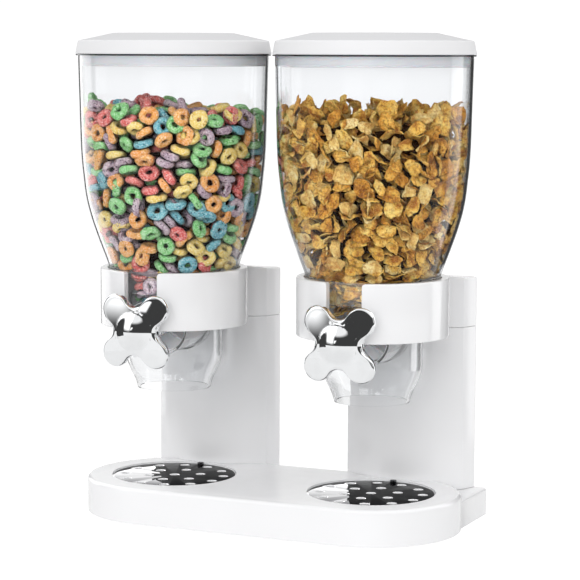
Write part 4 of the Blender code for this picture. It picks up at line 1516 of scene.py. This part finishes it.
def loop_material(name, base, deep, pits, speckle):
    """Puffed, sugar-dusted dough: a tint that drifts from loop to loop, open pores and dry dust."""
    n = Nodes(name)
    drift = n.noise(95.0, 1.0)
    pores = n.noise(900.0, 4.0, 0.62)
    holes = n.add("ShaderNodeTexVoronoi", feature="F1", distance="EUCLIDEAN")
    holes.inputs["Scale"].default_value = 480.0
    n.link(n.where(), holes.inputs["Vector"])
    pit = n.span(holes.outputs["Distance"], 1.0, 0.0, 0.16, 0.33)
    chance = n.span(n.noise(330.0, 2.0), 0.0, 1.0, 0.47 - speckle, 0.57 - speckle)
    mask = n.add("ShaderNodeMath", operation="MULTIPLY")
    n.link(pit, mask.inputs[0])
    n.link(chance, mask.inputs[1])
    colour = n.mix(n.span(drift, 0.0, 1.0, 0.35, 0.65), base, deep)
    colour = n.mix(n.span(pores, 0.0, 0.60, 0.48, 0.66), colour, (0.97, 0.95, 0.90))
    colour = n.mix(n.span(pores, 0.45, 0.0, 0.32, 0.46), colour, pits)
    colour = n.mix(mask.outputs[0], colour, pits)
    height = n.add("ShaderNodeMath", operation="SUBTRACT")
    n.link(pores, height.inputs[0])
    n.link(mask.outputs[0], height.inputs[1])
    n.set(
        # the base colour darkens to painted shade in the gaps between loops
        Base_Color=painted_crevice_shade(n, colour, tuple(c * 0.05 for c in pits)),
        Roughness=n.span(pores, 0.45, 0.75),
        Subsurface_Weight=0.08,
        Subsurface_Scale=0.0015,
        Normal=n.bump(height.outputs[0], 0.9, 0.0012),
    )
    return n.mat


def flake_material(name, pale, mid, brown):
    """Toasted corn: pale where thin, browner in blotches and on the blisters, with a dull sheen."""
    n = Nodes(name)
    toast = n.noise(110.0, 4.0, 0.6)
    blister = n.noise(520.0, 3.0, 0.6)
    crumbs = n.noise(1500.0, 3.0, 0.6)
    colour = n.ramp(toast, [(0.34, pale), (0.50, mid), (0.64, brown)])
    colour = n.mix(n.span(blister, 0.0, 0.75, 0.48, 0.64), colour, brown)
    colour = n.mix(n.span(crumbs, 0.0, 0.45, 0.50, 0.66), colour, pale)
    height = n.add("ShaderNodeMath", operation="ADD")
    n.link(blister, height.inputs[0])
    n.link(n.span(crumbs, 0.0, 0.3, 0.2, 0.8), height.inputs[1])
    n.set(
        # the base colour darkens to painted shade in the gaps between flakes
        Base_Color=painted_crevice_shade(n, colour, tuple(c * 0.06 for c in brown), 0.54),
        Roughness=n.span(blister, 0.40, 0.70),
        Subsurface_Weight=0.06,
        Subsurface_Scale=0.001,
        Normal=n.bump(height.outputs[0], 1.0, 0.0018),
    )
    return n.mat


def srgb(r, g, b):
    """Linear colour of a 0 to 255 display colour."""
    return tuple((c / 255 / 12.92) if c <= 10 else ((c / 255 + 0.055) / 1.055) ** 2.4 for c in (r, g, b))


def make_painted_shade_core(s, name, colour):
    """A dark turned mass in the middle of the fill: painted shade that only shows as the dark between the outer
    pieces.
    """
    levels = [196.5, 201.0, 205.0] + list(np.arange(212.0, CEREAL_TOP - 20.0, 8.0)) + [CEREAL_TOP - 20.0]
    profile = [(0.0, 196.0)]
    for z in levels:
        profile.append((max(radius_inside(z) - 17.0, 8.0), z))
    profile.append((profile[-1][0] - 9.0, CEREAL_TOP - 16.0))
    profile.append((0.0, CEREAL_TOP - 15.0))
    core = turned(name, profile, (AX[s], AY, 0), 72, False)
    for v in core.data.vertices:
        x, y, z = v.co / MM
        wave = 1 + 0.05 * math.sin(9 * math.atan2(y - AY, x - AX[s]) + z * 0.21)
        v.co = Vector((AX[s] + (x - AX[s]) * wave, AY + (y - AY) * wave, z)) * MM
    n = Nodes(name + "_shade")
    dark = tuple(c * 0.4 for c in colour)
    n.set(Base_Color=n.mix(n.span(n.noise(260.0, 3.0), 0.0, 1.0), colour, dark), Roughness=0.95, Specular_IOR_Level=0.05, Normal=n.bump(n.noise(300.0, 3.0), 1.0, 0.003))
    give(core, n.mat)
    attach(core, s + "_canister")


def make_loops(s):
    # the near-black middle of the loops is painted shade
    make_painted_shade_core(s, "cereal_loops_painted_shade_core", (0.035, 0.018, 0.014))
    rng = np.random.default_rng(11)
    shapes = [loop_shape(rng) for _ in range(14)]
    hulls = []
    for k, (_, _, big, tube) in enumerate(shapes):
        verts, faces = ring_mesh([(big * 0.8, -tube), (big, -tube * 0.45), (big, tube * 0.45), (big * 0.8, tube)], 12)
        faces += [tuple(range(12))[::-1], tuple(range(36, 48))]
        hulls.append(plain_mesh("hull%02d" % k, verts, faces))
    placed = [p for p in settle(hulls, LOOPS, 1.74, 1.5, 5, FRAMES) if in_view(p[1])]
    placed = press(placed, shapes, 31, 0.60, 0.60, 3.2)
    kinds = [
        ("green", 0.29, loop_material("loop_green", srgb(150, 215, 140), srgb(112, 196, 104), srgb(50, 105, 45), 0.0)),
        ("purple", 0.21, loop_material("loop_purple", srgb(200, 178, 188), srgb(170, 140, 158), srgb(70, 40, 60), 0.14)),
        ("orange", 0.15, loop_material("loop_orange", srgb(246, 182, 96), srgb(240, 158, 66), srgb(165, 85, 25), -0.02)),
        ("yellow", 0.12, loop_material("loop_yellow", srgb(248, 222, 128), srgb(240, 204, 96), srgb(190, 140, 50), -0.04)),
        ("red", 0.14, loop_material("loop_red", srgb(236, 122, 112), srgb(222, 90, 86), srgb(140, 40, 40), 0.0)),
        ("blue", 0.09, loop_material("loop_blue", srgb(122, 192, 200), srgb(92, 172, 188), srgb(30, 80, 100), 0.06)),
    ]
    fill("cereal_loops", shapes, placed, kinds, rng.random(len(placed)), s)


def make_flakes(s):
    # the near-black middle of the flakes is painted shade
    make_painted_shade_core(s, "corn_flakes_painted_shade_core", (0.05, 0.020, 0.006))
    rng = np.random.default_rng(23)
    shapes = [flake_shape(rng) for _ in range(22)]
    hulls = []
    for k, (_, _, a, b, half) in enumerate(shapes):
        t = max(0.12, min(half * 0.80, 0.26))
        verts, faces = ring_mesh([(0.85, -1.0), (1.0, 0.0), (0.85, 1.0)], 10)
        faces += [tuple(range(10))[::-1], tuple(range(20, 30))]
        hulls.append(plain_mesh("hull%02d" % k, [(x * a, y * b, z * t) for x, y, z in verts], faces))
    placed = [p for p in settle(hulls, FLAKES, 1.85, 1.5, 9, FRAMES + 8) if in_view(p[1])]
    placed = press(placed, shapes, 37, 0.72, 0.50, 2.2)
    kinds = [
        ("gold", 0.50, flake_material("flake_gold", srgb(255, 224, 134), srgb(248, 194, 82), srgb(172, 98, 28))),
        ("pale", 0.28, flake_material("flake_pale", srgb(255, 234, 170), srgb(244, 206, 118), srgb(196, 132, 50))),
        ("toasted", 0.22, flake_material("flake_toasted", srgb(248, 200, 96), srgb(222, 152, 50), srgb(130, 68, 16))),
    ]
    fill("corn_flakes", shapes, placed, kinds, rng.random(len(placed)), s)


LOOPS, FLAKES, FRAMES = 1045, 1815, 32
NECK_GLOW = 0.10
make_loops("left")
make_flakes("right")

# --------------------------------------------------------------------------
# CAD nodes that stay, with their materials
# --------------------------------------------------------------------------
for name, node in NODES.items():
    if name.startswith("back_cover"):
        give(node, WHITE)
        bevel = node.modifiers.new("soft_edge", "BEVEL")
        bevel.width, bevel.segments, bevel.limit_method = 0.0003, 2, "ANGLE"
    elif name.startswith("base_floor_plate"):
        give(node, WHITE_MATT)
    elif name.startswith("rubber_foot"):
        give(node, RUBBER)
    elif "screw" in name:
        give(node, ZINC)
    elif name.startswith("drive_shaft"):
        give(node, NYLON)
